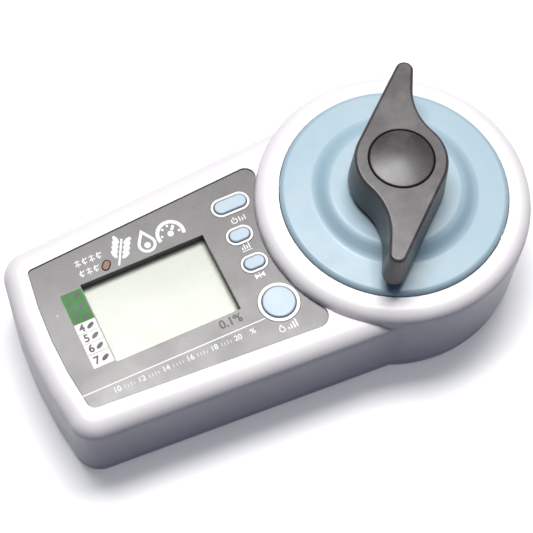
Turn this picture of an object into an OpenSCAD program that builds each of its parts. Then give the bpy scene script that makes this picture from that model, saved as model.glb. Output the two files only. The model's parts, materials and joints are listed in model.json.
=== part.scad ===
// Hand-held grain moisture meter: a tapering battery handle with a display and
// four buttons, and a round head whose wing handle presses a grain sample.
// Millimetres. +X runs from the tail to the round head, +Z is up.
// The origin is under the middle of the object, on the surface it stands on.

/* [Overall] */
// Length of the handle part, from its tail to the round head
body_l = 86.7; // [81.2:0.1:135.2]
// Diameter of the round head
head_d = 94.8; // [92:0.2:116]
// Width of the handle part at its tail, unless the batteries need more
tail_w = 70.8; // [70:0.2:84]
// Width that the tapering sides would reach at the head's axis
shoulder_w = 88.8; // [84:0.2:92]
// Height of the flat top of the handle part
body_h = 37.1; // [36.5:0.1:46]
// Rise of the head's rim above the handle part
head_step = 4.9; // [3:0.1:8]

/* [Casing] */
// Wall of both casing halves
wall = 2.4; // [1.8:0.1:3]
// Thickness of the underside
floor_t = 3; // [2.6:0.1:3.8]
// Gap that the foot pads leave under the casing
foot_gap = 0.8; // [0.5:0.1:1.5]
// Height of the seam between the casing halves
seam_z = 7.2; // [6:0.1:10]
// Inset of the lower half from the upper half
band_inset = 0.5; // [0.2:0.1:1]
// Plan radius of the tail's corners
tail_corner_r = 9.5; // [8:0.5:14]
// Plan radius of the gently bowed tail
tail_bow_r = 155; // [120:5:300]
// Rounding of the handle part's top edge
top_fillet = 6; // [4:0.5:7]
// Rounding of the head's top edge
head_fillet = 4.5; // [2:0.5:5]
// Radius of the screw posts
post_r = 3.2; // [2.8:0.1:3.6]
// Radius of the casing screws' shanks
case_screw_r = 1.4; // [1.2:0.1:1.6]

/* [Overlay panel] */
// Thickness of the grey overlay
panel_t = 0.8; // [0.5:0.1:1.2]
// Depth of the overlay's face below the casing's top
panel_sink = 0.55; // [0.2:0.05:0.8]
// White margin beside the overlay
panel_side = 9.3; // [8.5:0.1:11]
// White margin at the tail end of the overlay
panel_tail = 8.6; // [8:0.1:12]
// Plan radius of the overlay's corners at the tail
panel_corner_r = 2.2; // [1:0.2:4]
// Plan radius of the overlay's corners beside the head
panel_nose_r = 4; // [2:0.2:5]
// Gap between the overlay and the head
panel_gap = 0.15; // [0.1:0.05:0.5]

/* [Display] */
// Length of the display opening, along the object
window_l = 44.5; // [40:0.5:54]
// Width of the display opening
window_w = 30.1; // [28:0.1:37]
// Distance from the round head's edge to the middle of the display
window_reach = 39.6; // [36.6:0.1:42.6]
// Depth of the display's face below the overlay
lcd_depth = 4.15; // [3.4:0.05:4.6]
// Thickness of the clear window plate
clear_t = 1; // [0.8:0.1:1.4]
// Thickness of the display cell
lcd_t = 2.8; // [2:0.1:3]
// Thickness of the circuit board
board_t = 1.6; // [1:0.1:2]

/* [Buttons] */
// Clearance round a button in its hole
button_gap = 0.3; // [0.3:0.05:0.5]
// Width of the white land round a long button
land_w = 0.9; // [0.6:0.05:1.2]
// Width of the white land round the round button
round_land_w = 1.25; // [0.6:0.05:1.4]
// Height of a button above the overlay
button_proud = 0.8; // [0.6:0.1:1.6]
// Travel of a button
button_travel = 0.8; // [0.4:0.1:0.8]
// Length of the power button
power_l = 11.6; // [9:0.1:12]
// Width of the power button
power_w = 4.8; // [4:0.1:5.4]
// Length of the average and select buttons
pill_l = 7.2; // [6:0.1:9]
// Width of the average and select buttons
pill_w = 4.4; // [4:0.1:5.4]
// Radius of the round measure button
round_r = 5.6; // [4.6:0.1:6.4]

/* [Press lid] */
// Width of the head's flat ring round the lid
ring_w = 8.05; // [7:0.05:10]
// Gap round the lid and between turning faces
run_gap = 0.3; // [0.3:0.05:0.5]
// Height of the lid's flat above the head's ring
lid_rise = 2; // [1:0.1:3]
// Rise of the lid's raised middle above its flat
crown_h = 3.6; // [2:0.1:5]
// Radius of the raised middle at its top
crown_r = 23.3; // [21:0.1:27]
// Radius at the foot of the raised middle's slope
crown_foot_r = 27.25; // [25:0.25:30]
// Thickness of the lid's plate
lid_t = 2.8; // [2.4:0.1:3.2]
// Angle that the lid turns to lock
lock_turn = 30; // [20:1:36]

/* [Wing handle] */
// Length of the wing handle from tip to tip
wing_span = 75.4; // [64:0.2:77]
// Radius of the handle's round middle
hub_r = 15.5; // [13.5:0.1:17]
// Radius of the wings' tips
tip_r = 3; // [2.4:0.1:4]
// Height of the wings from underside to top
wing_h = 15.3; // [13:0.1:19]
// Gap between the wings and the lid's raised middle
wing_gap = 2.4; // [1.8:0.1:4]
// Direction of the wings, measured from +X
wing_angle = 60.5; // [0:0.5:90]
// Radius of the domed cap on the hub
cap_r = 10.7; // [9:0.1:11.5]

/* [Press] */
// Radius of the spindle's journal
journal_r = 5; // [4.5:0.1:5.5]
// Radius of the spindle's thread
thread_r = 4; // [3.5:0.1:4.5]
// Running clearance of journal and thread
fit_gap = 0.05; // [0.02:0.01:0.08]
// Radius of the upper electrode
electrode_r = 19.3; // [17:0.1:20]
// Travel of the press in one turn of the handle
press_travel = 6; // [4:0.5:6]
// Inner radius of the sample dish
dish_r = 20.3; // [20:0.1:21]
// Wall and floor of the sample dish
dish_t = 1.2; // [0.8:0.1:1.4]
// Inner depth of the sample dish
dish_depth = 5.3; // [4.5:0.1:5.5]

/* [Batteries] */
// Diameter of a battery
cell_d = 14.5; // [14:0.1:17.4]
// Length of a battery
cell_l = 50.5; // [48:0.5:51]
// Space between batteries
cell_space = 0.7; // [0.5:0.1:1]
// Number of batteries
cell_count = 4; // [2:1:4]

/* [Hidden] */
$fn = 96;

// Plan
head_r = head_d / 2;
overall_l = body_l + head_d;
head_x = overall_l / 2 - head_r;
edge_x = head_x - head_r;
tail_x = -overall_l / 2;

// Seam tongue
tongue_h = 1.5;
tongue_t = 1;
tongue_gap = 0.15;

// Batteries and their tray
bay_end = 4;
spring_l = 4.5;
plate_l = 1.5;
bay_l = cell_l + spring_l + plate_l;
cell_pitch = cell_d + cell_space;
bay_w = cell_count * cell_pitch + cell_space;
tray_t = 1.4;
bay_x0 = tail_x + wall + 2 * post_r + bay_end + tray_t;
bay_x1 = bay_x0 + bay_l;

// Taper of the sides: the tail is as wide as set, or as the tray needs at its end
tray_room = bay_w / 2 + tray_t + wall + tongue_gap + tongue_t + 0.4;
tray_x = bay_x0 - tray_t;
tray_tail_w = shoulder_w - (shoulder_w - 2 * tray_room) * (head_x - tail_x) / (head_x - tray_x);
end_w = max(tail_w, tray_tail_w);
taper = (shoulder_w - end_w) / 2 / (head_x - tail_x);
taper_a = atan(taper);
function half_w(x) = shoulder_w / 2 + taper * (x - head_x);
function bow(y) = y * y / (2 * tail_bow_r);

// Casing screws and the posts that they run into
tail_post_x = tail_x + wall + post_r + 2;
tail_post_y = end_w / 2 - tail_corner_r + 1.5;
waist_post_x = bay_x1 + 10;
waist_post_y = half_w(waist_post_x) - wall - post_r - 0.6;
head_post_r = head_r - wall - post_r + 0.4;
head_post_a = 48;
case_posts = [
    [tail_post_x, tail_post_y], [tail_post_x, -tail_post_y],
    [waist_post_x, waist_post_y], [waist_post_x, -waist_post_y],
    [head_x + head_post_r * cos(head_post_a), head_post_r * sin(head_post_a)],
    [head_x + head_post_r * cos(head_post_a), -head_post_r * sin(head_post_a)]
];
screw_head_r = 2.6;
screw_head_h = 1.8;
screw_l = 11;
screw_slot_l = 3;
screw_slot_w = 0.7;

// Heights, from the surface that the object stands on
floor_z = foot_gap + floor_t;
head_top = body_h + head_step;
panel_z = body_h - panel_sink;
panel_bed = panel_z - panel_t;
roof_z = panel_bed - wall;
lcd_z = panel_z - lcd_depth;
board_top = lcd_z - 5.8;
board_z = board_top - board_t;

// Display and board
bezel_t = 0.8;
bezel_step = 0.8;
window_x = edge_x - window_reach;
strip_l = 0.9 * window_l;
strip_w = 2;
board_screw_r = 1;
board_screw_head_r = 2.2;
board_screw_head_h = 1.5;
board_post_r = 2.6;
board_x0 = max(window_x - window_l / 2 - 12, tail_post_x + post_r + 1);
board_x1 = edge_x + 6;
board_w = 2 * (waist_post_y - post_r - 1);
board_post_x = [window_x - window_l / 2 - 8, window_x + window_l / 2 + 3.5];
board_post_y = window_w / 2 + 8;

// Buttons: distance from the head's edge, and offset across
power_x = edge_x - 3.9;
power_y = 21.6;
average_x = edge_x - 6;
average_y = 9.7;
select_x = edge_x - 5.9;
select_y = -1.7;
measure_x = edge_x - 4.8;
measure_y = -18.2;
button_stem_r = 1.7;
flange_w = 1;
flange_t = 1;
land_rise = 0.2;
flange_top = roof_z - 0.3;
stem_end = flange_top - flange_t - 0.3;
plunger_top = stem_end - button_travel - 0.1;
switch_w = 6;
lens_x = window_x - 11.6;
lens_y = window_w / 2 + 3.15;
lens_turn = 50;
lens_l = 3.8;
lens_w = 2.5;
lens_rise = 0.25;
pipe_r = 0.9;
pipe_shift = 0.6;
led_r = 1.5;

// Heights and contacts of the batteries
cell_room = 0.4;
cell_z = floor_z + cell_room + cell_d / 2;
tray_roof = cell_z + cell_d / 2 + cell_room;
tray_rib_t = 1.4;
cap_l = 2;
cap_button_r = 2.75;
contact_w = 9;
contact_h = 10;
contact_t = 0.4;
coil_r = 4;
coil_step = 0.3;
coil_pitch = 0.76;
coil_turns = 5;
wire_r = 0.45;
plate_r = 2.2;

// Battery door and its hinge
door_t = 2;
door_gap = 0.4;
pin_r = 0.8;
knuckle_r = 1.7;
door_rim = 2.2;
hinge_x = bay_x1 + door_rim;
hinge_z = foot_gap + knuckle_r;
door_x0 = bay_x0 - 1;
door_x1 = hinge_x - knuckle_r - door_gap;
door_w = bay_w - 2;
knuckle_l = 7;
knuckle_y = door_w / 2 - 10;
lug_l = 6;
notch_r = 8;
notch_out = 2;
grip_lines = 5;
grip_pitch = 2;
grip_l = 16;

// Foot pads
pad_l = 14;
pad_w = 4;
pad_sink = 0.6;
pad_in = 1.4;
pad_reach = bay_x0 + 12;
pad_head_r = head_r - band_inset - pad_in - pad_w / 2;
pad_head_a = 22;

// Lid seat and bayonet ring
seat_r = head_r - ring_w;
lid_r = seat_r - run_gap;
seat_h = 4;
seat_z = head_top - seat_h;
well_t = 2;
lock_h = 8;
lock_z = seat_z - lock_h;
lock_r = seat_r - 0.1;
ledge_t = 3.5;
groove_r = lock_r - 1.85;
ledge_r = groove_r - 2.2;
shelf_t = 2;
shelf_r = ledge_r - 0.7;
lug_t = 2.3;
lug_r = groove_r - 0.3;
lug_a = 24;
lug_slack = 2;
lug_count = 3;
stop_a = 8;
lock_screw_r = 0.9;
lock_screw_head_r = 1.7;
lock_screw_head_h = 1.4;
lock_post_r = 2.2;
lock_screw_at = ledge_r + 2;
lock_screw_l = 10;
skirt_r = ledge_r - 0.4;
skirt_t = 2.4;
skirt_in_r = skirt_r - skirt_t;
lug_top = seat_z - ledge_t - run_gap;
skirt_z = lug_top - lug_t;
first_lug = 90;
function slot_angle(i) = first_lug + i * 360 / lug_count;
function stop_angle(i) = slot_angle(i) - lock_turn - lug_a / 2 - 1 - stop_a / 2;

// Lid
lid_flat_z = head_top + lid_rise;
crown_z = lid_flat_z + crown_h;
rim_z = seat_z + run_gap;
lid_edge_r = 1.8;
flat_r = lid_r - lid_edge_r;
boss_r = 11;
boss_drop = 2.5;
boss_z = crown_z - lid_t - boss_drop;
bush_r = journal_r + 2;
bush_flange_r = bush_r + 2.5;
bush_flange_t = 0.8;
seal_w = 2.2;
seal_t = 1.05;
seal_r = lid_r - 0.6;
seal_z = rim_z - 0.25;

// Guide sleeve under the lid, and the clip that holds it there
clip_t = 1;
clip_z = skirt_z + 4.4;
clip_w = 2.6;
clip_bite = 0.5;
sleeve_z1 = clip_z + clip_t + 0.4;
sleeve_flange_t = 2.2;
sleeve_in_r = electrode_r + 1.9;
sleeve_out_r = sleeve_in_r + 2.8;
rib_w = 4;
rib_in_r = electrode_r + 0.5;
key_w = 5.6;
key_in = sleeve_out_r - 0.3;
key_out = sleeve_out_r + 2.4;
slide_gap = 0.4;

// Press, counted down from the lid
collar_t = 2.7;
collar_r = 8.5;
collar_z = boss_z - run_gap - collar_t;
nut_h = 4.5;
nut_r = 8;
nut_z = collar_z - slide_gap - nut_h;
stem_r = 10.5;
press_face = head_top - 16.5;
upper_t = 2;
insulator_t = 2.5;
piston_z = press_face + upper_t + insulator_t;
piston_t = 3.4;
piston_r = sleeve_in_r - slide_gap;
thread_end = press_face + upper_t + 0.5;
face_groove = 0.5;
hex_r = 4.6;
hex_h = 9;
electrode_screw_at = 14;
electrode_screw_r = 1.25;
electrode_screw_head_r = 2.2;
electrode_screw_head_h = 1.5;
bore_r = thread_r + 0.6;

// Measuring cell, counted down from the plate pressed home
squeeze_gap = 1.8;
dish_floor = press_face - press_travel - squeeze_gap;
dish_z = dish_floor - dish_t;
dish_out_r = dish_r + dish_t;
dish_rim = dish_floor + dish_depth;
cell_in_r = dish_out_r + 0.7;
cell_out_r = key_out + 1;
cell_top = dish_rim + 1;
cell_floor = dish_z - 4.5;
cell_flange_r = cell_out_r + 6.5;
cell_flange_t = 2.5;
cell_screw_at = cell_out_r + 3.4;
cell_screw_r = 1.2;
cell_screw_head_r = 2.2;
cell_screw_head_h = 1.6;
lower_r = 15;
terminal_r = 1.5;
probe_r = 2;
probe_x = lower_r + probe_r + 1.3;
sleeve_z0 = cell_top + slide_gap;
key_z = cell_top - 4;

// Handle
wing_z = crown_z + wing_gap;
wing_top = wing_z + wing_h;
arm_l = wing_span / 2 - tip_r;
sweep_r = 21;
sweep_x = sqrt(pow(hub_r + sweep_r, 2) - pow(tip_r + sweep_r, 2));
sweep_a = asin((tip_r + sweep_r) / (hub_r + sweep_r));
lean_a = asin((hub_r - tip_r) / arm_l);
cap_z = wing_top - 4.3;
cap_plate_t = 1.8;
cap_wall = 1.2;
cap_dome = 1;
cap_gap = 0.3;
hub_foot_r = 13;
hub_foot_z = crown_z + bush_flange_t + run_gap;
handle_screw_r = 1.95;
handle_screw_head_r = 3.8;
handle_screw_head_h = 2.1;
handle_screw_key_r = 2;
handle_screw_end = hub_foot_z - 3;

// A list of points on an arc
function arc(cx, cy, r, a0, a1, n) = [
    for (i = [0 : n]) let (a = a0 + (a1 - a0) * i / n) [cx + r * cos(a), cy + r * sin(a)]
];

// Outline of an upright post with a chamfered foot and a rounded top
function post_profile(r, h, foot, top) = concat(
    [[0, 0], [r - foot, 0], [r, foot]],
    top > 0 ? arc(r - top, h - top, top, 0, 90, 6) : [[r, h]],
    [[0, h]]
);

// The handle part: one hull over posts along the tail and under the head
module body_block(inset, z0, z1, foot, top) {
    r = tail_corner_r - inset;
    yc = end_w / 2 + taper * tail_corner_r - tail_corner_r;
    hull() {
        for (k = [-1, -0.5, 0, 0.5, 1])
            translate([tail_x + tail_corner_r + bow(k * yc), k * yc, z0])
                rotate_extrude($fn = 32) polygon(post_profile(r, z1 - z0, foot, top));
        for (s = [-1, 1])
            translate([head_x, s * (shoulder_w / 2 - tail_corner_r), z0])
                rotate_extrude($fn = 32) polygon(post_profile(r, z1 - z0, foot, top));
    }
}

// The round head
module head_block(inset, z0, z1, foot, top) {
    translate([head_x, 0, z0]) rotate_extrude() polygon(post_profile(head_r - inset, z1 - z0, foot, top));
}

// A flat pill shape, long along X, from z0 to z1
module pill(l, w, z0, z1) {
    translate([0, 0, z0]) linear_extrude(z1 - z0) {
        square([l - w, w], center = true);
        for (s = [-1, 1]) translate([s * (l - w) / 2, 0]) circle(d = w);
    }
}

// A ring about Z from z0 to z1
module ring(r_out, r_in, z0, z1) {
    translate([0, 0, z0]) difference() {
        cylinder(r = r_out, h = z1 - z0);
        translate([0, 0, -1]) cylinder(r = r_in, h = z1 - z0 + 2);
    }
}

// A part of a ring, centred on angle a and w degrees wide
module ring_part(r_out, r_in, z0, z1, a, w) {
    x = 2 * r_out * cos(w / 2);
    y = 2 * r_out * sin(w / 2);
    rotate([0, 0, a]) intersection() {
        ring(r_out, r_in, z0, z1);
        translate([0, 0, z0 - 1]) linear_extrude(z1 - z0 + 2) polygon([[0, 0], [x, -y], [x, y]]);
    }
}

// Centre of a corner rounding on the tail's side: reach from a circle's centre at cx, and
// on the tapering line that passes side_y at the head's axis
function corner_centre(cx, reach, side_y) = let (
    m = side_y + taper * (cx - head_x),
    a = 1 + taper * taper,
    dx = (-m * taper - sqrt(pow(m * taper, 2) - a * (m * m - reach * reach))) / a
) [cx + dx, m + taper * dx];

// Outline of the overlay panel, grown by d: tapering sides, a bowed tail end and an end
// that follows the head
module panel_plan(d) {
    side = shoulder_w / 2 - panel_side + d;
    tail_r = panel_corner_r + d;
    nose_r = panel_nose_r + d;
    bow_x = tail_x + panel_tail + tail_bow_r;
    bow_r = tail_bow_r + d;
    hollow_r = head_r + panel_gap - d;
    t = corner_centre(bow_x, bow_r - tail_r, side - tail_r / cos(taper_a));
    n = corner_centre(head_x, hollow_r + nose_r, side - nose_r / cos(taper_a));
    bend = atan2(t[1], t[0] - bow_x);
    meet = atan2(n[1], n[0] - head_x);
    polygon(concat(
        arc(n[0], n[1], nose_r, meet - 180, 90 + taper_a, 12),
        arc(t[0], t[1], tail_r, 90 + taper_a, bend, 6),
        arc(bow_x, 0, bow_r, bend, 360 - bend, 10),
        arc(t[0], -t[1], tail_r, 360 - bend, 270 - taper_a, 6),
        arc(n[0], -n[1], nose_r, 270 - taper_a, 540 - meet, 12),
        arc(head_x, 0, hollow_r, 360 - meet, meet, 24)
    ));
}

// The four buttons' shapes, grown by d, from z0 to z1
module power_shape(d, z0, z1) {
    translate([power_x, power_y, 0]) pill(power_l + 2 * d, power_w + 2 * d, z0, z1);
}
module average_shape(d, z0, z1) {
    translate([average_x, average_y, 0]) pill(pill_l + 2 * d, pill_w + 2 * d, z0, z1);
}
module select_shape(d, z0, z1) {
    translate([select_x, select_y, 0]) pill(pill_l + 2 * d, pill_w + 2 * d, z0, z1);
}
module measure_shape(d, z0, z1) {
    translate([measure_x, measure_y, z0]) cylinder(r = round_r + d, h = z1 - z0);
}
module button_shapes(d, round_d, z0, z1) {
    power_shape(d, z0, z1);
    average_shape(d, z0, z1);
    select_shape(d, z0, z1);
    measure_shape(round_d, z0, z1);
}
// Holes for the buttons, and the outsides of the lands round them
module button_holes(z0, z1) {
    button_shapes(button_gap, button_gap, z0, z1);
}
module land_shapes(d, z0, z1) {
    button_shapes(button_gap + land_w + d, button_gap + round_land_w + d, z0, z1);
}
module lens_shape(d, z0, z1) {
    translate([lens_x, lens_y, 0]) rotate([0, 0, lens_turn]) pill(lens_l + 2 * d, lens_w + 2 * d, z0, z1);
}

// Where the display's bezel sits, grown by d
module bezel_block(d, z0, z1) {
    l = window_l + 2 * bezel_t + 2 * bezel_step + 2 * d;
    w = window_w + 2 * bezel_t + 2 * bezel_step + 2 * d;
    translate([window_x - l / 2, -w / 2, z0]) cube([l, w, z1 - z0]);
}

// A cylinder standing at x, y from z0 to z1
module rod(x, y, r, z0, z1) {
    translate([x, y, z0]) cylinder(r = r, h = z1 - z0);
}

// Move what follows onto the head's axis
module on_head() {
    translate([head_x, 0, 0]) children();
}

// Copy what follows n times round Z, from angle a
module around(n, a) {
    for (i = [0 : n - 1]) rotate([0, 0, a + i * 360 / n]) children();
}

// Rods from z0 to z1 at each place where a screw holds something
module case_rods(r, z0, z1) {
    for (p = case_posts) rod(p[0], p[1], r, z0, z1);
}
module board_rods(r, z0, z1) {
    for (x = board_post_x) for (s = [-1, 1]) rod(x, s * board_post_y, r, z0, z1);
}
module lock_rods(r, z0, z1) {
    on_head() for (i = [0 : lug_count - 1]) rotate([0, 0, stop_angle(i)]) rod(lock_screw_at, 0, r, z0, z1);
}
module cell_rods(r, z0, z1) {
    on_head() around(3, 30) rod(cell_screw_at, 0, r, z0, z1);
}
module electrode_rods(r, z0, z1) {
    around(3, 90) rod(electrode_screw_at, 0, r, z0, z1);
}

// Posts that the screws run into
module upper_posts() {
    for (p = case_posts) {
        top = p[0] > head_x ? lock_z - shelf_t + 0.1 : roof_z + 0.5;
        rod(p[0], p[1], post_r, seam_z + 0.2, top);
    }
    board_rods(board_post_r, board_top, roof_z + 0.5);
    lock_rods(lock_post_r, lock_z - shelf_t - 2, lock_z - 0.5);
}

module upper_case() color("whitesmoke") {
    difference() {
        union() {
            difference() {
                union() {
                    body_block(0, seam_z, body_h, 0, top_fillet);
                    head_block(0, seam_z, head_top, 0, head_fillet);
                }
                body_block(wall, seam_z - 1, roof_z, 0, top_fillet - wall);
                head_block(wall, seam_z - 1, head_top - wall, 0, head_fillet - wall);
            }
            on_head() ring(seat_r + well_t, seat_r - 1, lock_z - shelf_t, head_top - 0.5);
            on_head() ring(seat_r, shelf_r, lock_z - shelf_t, lock_z);
            upper_posts();
        }
        on_head() cylinder(r = shelf_r, h = head_top + 1);
        on_head() translate([0, 0, lock_z]) cylinder(r = seat_r, h = head_top);
        // Bed of the overlay panel, up to the head's own wall
        difference() {
            translate([0, 0, panel_bed]) linear_extrude(body_h) panel_plan(0.3);
            on_head() cylinder(r = head_r, h = head_top + 1);
        }
        bezel_block(0.2, roof_z - 1, body_h);
        rod(lens_x, lens_y + pipe_shift, pipe_r + 0.1, roof_z - 1, body_h);
        button_holes(roof_z - 1, body_h);
        case_rods(case_screw_r + fit_gap, seam_z - 1, seam_z + screw_l - 2);
        board_rods(board_screw_r + fit_gap, board_top - 1, board_top + 4);
        lock_rods(lock_screw_r + fit_gap, lock_z - shelf_t - 3, lock_z + 1);
    }
    // White lands round the buttons
    difference() {
        land_shapes(0, panel_bed - 0.5, panel_z + land_rise);
        button_holes(panel_bed - 1, body_h);
    }
}

module lower_case() color("gainsboro") {
    door_lugs();
    lower_shell();
}
module lower_shell() difference() {
    union() {
        difference() {
            union() {
                body_block(band_inset, foot_gap, seam_z, 1.2, 0);
                head_block(band_inset, foot_gap, seam_z, 1.2, 0);
                tongue();
            }
            body_block(wall + tongue_gap + tongue_t, floor_z, seam_z + tongue_h + 1, 0, 0);
            head_block(wall + tongue_gap + tongue_t, floor_z, seam_z + tongue_h + 1, 0, 0);
        }
        case_rods(post_r + 0.3, floor_z - 0.5, seam_z);
    }
    // Way for the battery door and its hinge
    translate([door_x0 - door_gap, -door_w / 2 - door_gap, foot_gap - 1])
        cube([hinge_x - door_x0 + knuckle_r + 2 * door_gap, door_w + 2 * door_gap, door_t + door_gap + 1]);
    translate([door_x0 + 1.2, -door_w / 2 - door_gap, foot_gap])
        cube([hinge_x - door_x0 + knuckle_r + door_gap - 1.2, door_w + 2 * door_gap, floor_t + 1]);
    // Finger notch at the door's edge
    finger_notch();
    case_rods(case_screw_r + 0.3, foot_gap - 1, seam_z + 1);
    case_rods(screw_head_r + 0.3, foot_gap - 1, foot_gap + screw_head_h + 0.4);
    foot_pad_shapes(0.1, 0, foot_gap + pad_sink);
    cell_rods(cell_screw_r + fit_gap, foot_gap + 0.8, floor_z + 1);
}
module finger_notch() {
    rod(door_x0 - notch_out, 0, notch_r, foot_gap - 1, foot_gap + 1.2);
}

// Lip of the lower half that the upper half drops over
module tongue() {
    difference() {
        union() {
            body_block(wall + tongue_gap, seam_z - 1, seam_z + tongue_h, 0, 0);
            head_block(wall + tongue_gap, seam_z - 1, seam_z + tongue_h, 0, 0);
        }
        translate([0, 0, -1]) {
            body_block(wall + tongue_gap + tongue_t, seam_z, seam_z + tongue_h + 2, 0, 0);
            head_block(wall + tongue_gap + tongue_t, seam_z, seam_z + tongue_h + 2, 0, 0);
        }
        case_rods(post_r + tongue_gap, seam_z, seam_z + tongue_h + 1);
    }
}

// Lugs of the lower half that hold the battery door's pin
module door_lugs() {
    for (y0 = [-knuckle_y + knuckle_l / 2 + door_gap, knuckle_y - knuckle_l / 2 - door_gap - lug_l])
        translate([hinge_x, y0, hinge_z]) difference() {
            union() {
                rotate([-90, 0, 0]) cylinder(r = knuckle_r, h = lug_l);
                translate([0, 0, -knuckle_r]) cube([knuckle_r + 2 * door_gap + 0.5, lug_l, 2 * knuckle_r]);
            }
            translate([0, -1, 0]) rotate([-90, 0, 0]) cylinder(r = pin_r, h = lug_l + 2);
        }
}

module case_screws() color("silver") for (p = case_posts) {
    z = foot_gap + 0.3;
    difference() {
        rod(p[0], p[1], screw_head_r, z, z + screw_head_h);
        translate([p[0], p[1], z]) for (a = [0, 90]) rotate([0, 0, a])
            cube([screw_slot_l, screw_slot_w, screw_head_h], center = true);
    }
    rod(p[0], p[1], case_screw_r, z + screw_head_h, z + screw_head_h + screw_l);
}

// The four foot pads, grown by d, from z0 to z1
module foot_pad_shapes(d, z0, z1) {
    y = half_w(pad_reach) - band_inset - pad_in - pad_w / 2;
    for (s = [-1, 1]) {
        translate([pad_reach, s * y, 0]) rotate([0, 0, s * taper_a])
            pill(pad_l + 2 * d, pad_w + 2 * d, z0, z1);
        on_head() rotate([0, 0, s * pad_head_a]) translate([pad_head_r, 0, 0]) rotate([0, 0, 90])
            pill(pad_l + 2 * d, pad_w + 2 * d, z0, z1);
    }
}
module foot_pads() color("dimgray") foot_pad_shapes(0, 0, foot_gap + pad_sink);

module overlay_panel() color("darkgray") difference() {
    translate([0, 0, panel_bed]) linear_extrude(panel_t) panel_plan(0);
    translate([window_x - window_l / 2, -window_w / 2, 0]) cube([window_l, window_w, body_h]);
    land_shapes(0.1, 0, body_h);
    lens_shape(0.1, 0, body_h);
}

module display_bezel() color("darkslategray") difference() {
    bezel_block(0, lcd_z - lcd_t, panel_bed);
    translate([window_x - window_l / 2, -window_w / 2, 0]) cube([window_l, window_w, body_h]);
    window_pocket(0, 0, lcd_z + clear_t);
}
// The pocket behind the bezel's rim, shrunk by d
module window_pocket(d, z0, z1) {
    l = window_l + 2 * (bezel_step - d);
    w = window_w + 2 * (bezel_step - d);
    translate([window_x - l / 2, -w / 2, z0]) cube([l, w, z1 - z0]);
}
module display_window() color("azure") window_pocket(0.1, lcd_z, lcd_z + clear_t);
module display_cell() color("honeydew") window_pocket(0.1, lcd_z - lcd_t, lcd_z);
module contact_strips() color("gray") for (s = [-1, 1])
    translate([window_x - strip_l / 2, (s * window_w - strip_w) / 2, board_top])
        cube([strip_l, strip_w, lcd_z - lcd_t - board_top]);

module main_board() color("darkgreen") difference() {
    translate([board_x0, -board_w / 2, board_z]) cube([board_x1 - board_x0, board_w, board_t]);
    board_rods(board_screw_r + 0.2, 0, body_h);
}
module board_screws() color("silver") {
    board_rods(board_screw_head_r, board_z - board_screw_head_h, board_z);
    board_rods(board_screw_r, board_z, board_top + 3.5);
}

module indicator_lens() color("darkorange") {
    lens_shape(0, panel_bed, panel_z + lens_rise);
    rod(lens_x, lens_y + pipe_shift, pipe_r, roof_z - 0.6, panel_bed + 0.1);
}
module indicator_led() color("orange") {
    rod(lens_x, lens_y + pipe_shift, led_r + 0.3, board_top, board_top + 1);
    rod(lens_x, lens_y + pipe_shift, led_r, board_top + 1, board_top + 3.5);
    translate([lens_x, lens_y + pipe_shift, board_top + 3.5]) sphere(r = led_r);
}

// A dome switch on the board under a button
module dome_switch(x, y) color("dimgray") {
    translate([x - switch_w / 2, y - switch_w / 2, board_top]) cube([switch_w, switch_w, 3]);
    rod(x, y, button_stem_r, board_top + 3, plunger_top);
}
module switch_power() dome_switch(power_x, power_y);
module switch_average() dome_switch(average_x, average_y);
module switch_select() dome_switch(select_x, select_y);
module switch_measure() dome_switch(measure_x, measure_y);

// A button's crown comes through the casing; its flange stays under it
module button_power() color("lightcyan") {
    power_shape(0, flange_top - 0.1, panel_z + button_proud);
    power_shape(flange_w, flange_top - flange_t, flange_top);
    rod(power_x, power_y, button_stem_r, stem_end, flange_top);
}
module button_average() color("lightcyan") {
    average_shape(0, flange_top - 0.1, panel_z + button_proud);
    average_shape(flange_w, flange_top - flange_t, flange_top);
    rod(average_x, average_y, button_stem_r, stem_end, flange_top);
}
module button_select() color("lightcyan") {
    select_shape(0, flange_top - 0.1, panel_z + button_proud);
    select_shape(flange_w, flange_top - flange_t, flange_top);
    rod(select_x, select_y, button_stem_r, stem_end, flange_top);
}
module button_measure() color("lightcyan") {
    measure_shape(0, flange_top - 0.1, panel_z + button_proud);
    measure_shape(flange_w, flange_top - flange_t, flange_top);
    rod(measure_x, measure_y, button_stem_r, stem_end, flange_top);
}

module battery_tray() color("darkslategray") {
    difference() {
        translate([bay_x0 - tray_t, -bay_w / 2 - tray_t, floor_z])
            cube([bay_l + 2 * tray_t, bay_w + 2 * tray_t, tray_roof + tray_t - floor_z]);
        translate([bay_x0, -bay_w / 2, floor_z - 1]) cube([bay_l, bay_w, tray_roof - floor_z + 1]);
        // Way for the door's hinge
        translate([bay_x1 - 1, -door_w / 2 - door_gap, floor_z - 1])
            cube([tray_t + 2, door_w + 2 * door_gap, 2.4]);
    }
    // Ribs between the batteries
    rib_z = cell_z + cell_d * 0.3;
    for (i = [1 : 1 : cell_count - 1])
        translate([bay_x0 - 0.1, cell_y(i) - (cell_pitch + tray_rib_t) / 2, rib_z])
            cube([bay_l + 0.2, tray_rib_t, tray_roof - rib_z + 0.1]);
}
function cell_y(i) = (i - (cell_count - 1) / 2) * cell_pitch;
// Batteries lie head to tail in turn: turned = 0 has its cap towards the tail
function turned(i) = i % 2;

module battery(i) color("steelblue") if (i < cell_count)
    translate([bay_x0 + (turned(i) == 0 ? plate_l : bay_l - plate_l), cell_y(i), cell_z])
        rotate([0, turned(i) == 0 ? 90 : -90, 0]) {
            cylinder(r = cap_button_r, h = cap_l);
            translate([0, 0, cap_l / 2]) cylinder(d = cell_d, h = cell_l - cap_l / 2);
        }
module battery_1() battery(0);
module battery_2() battery(1);
module battery_3() battery(2);
module battery_4() battery(3);

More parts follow.
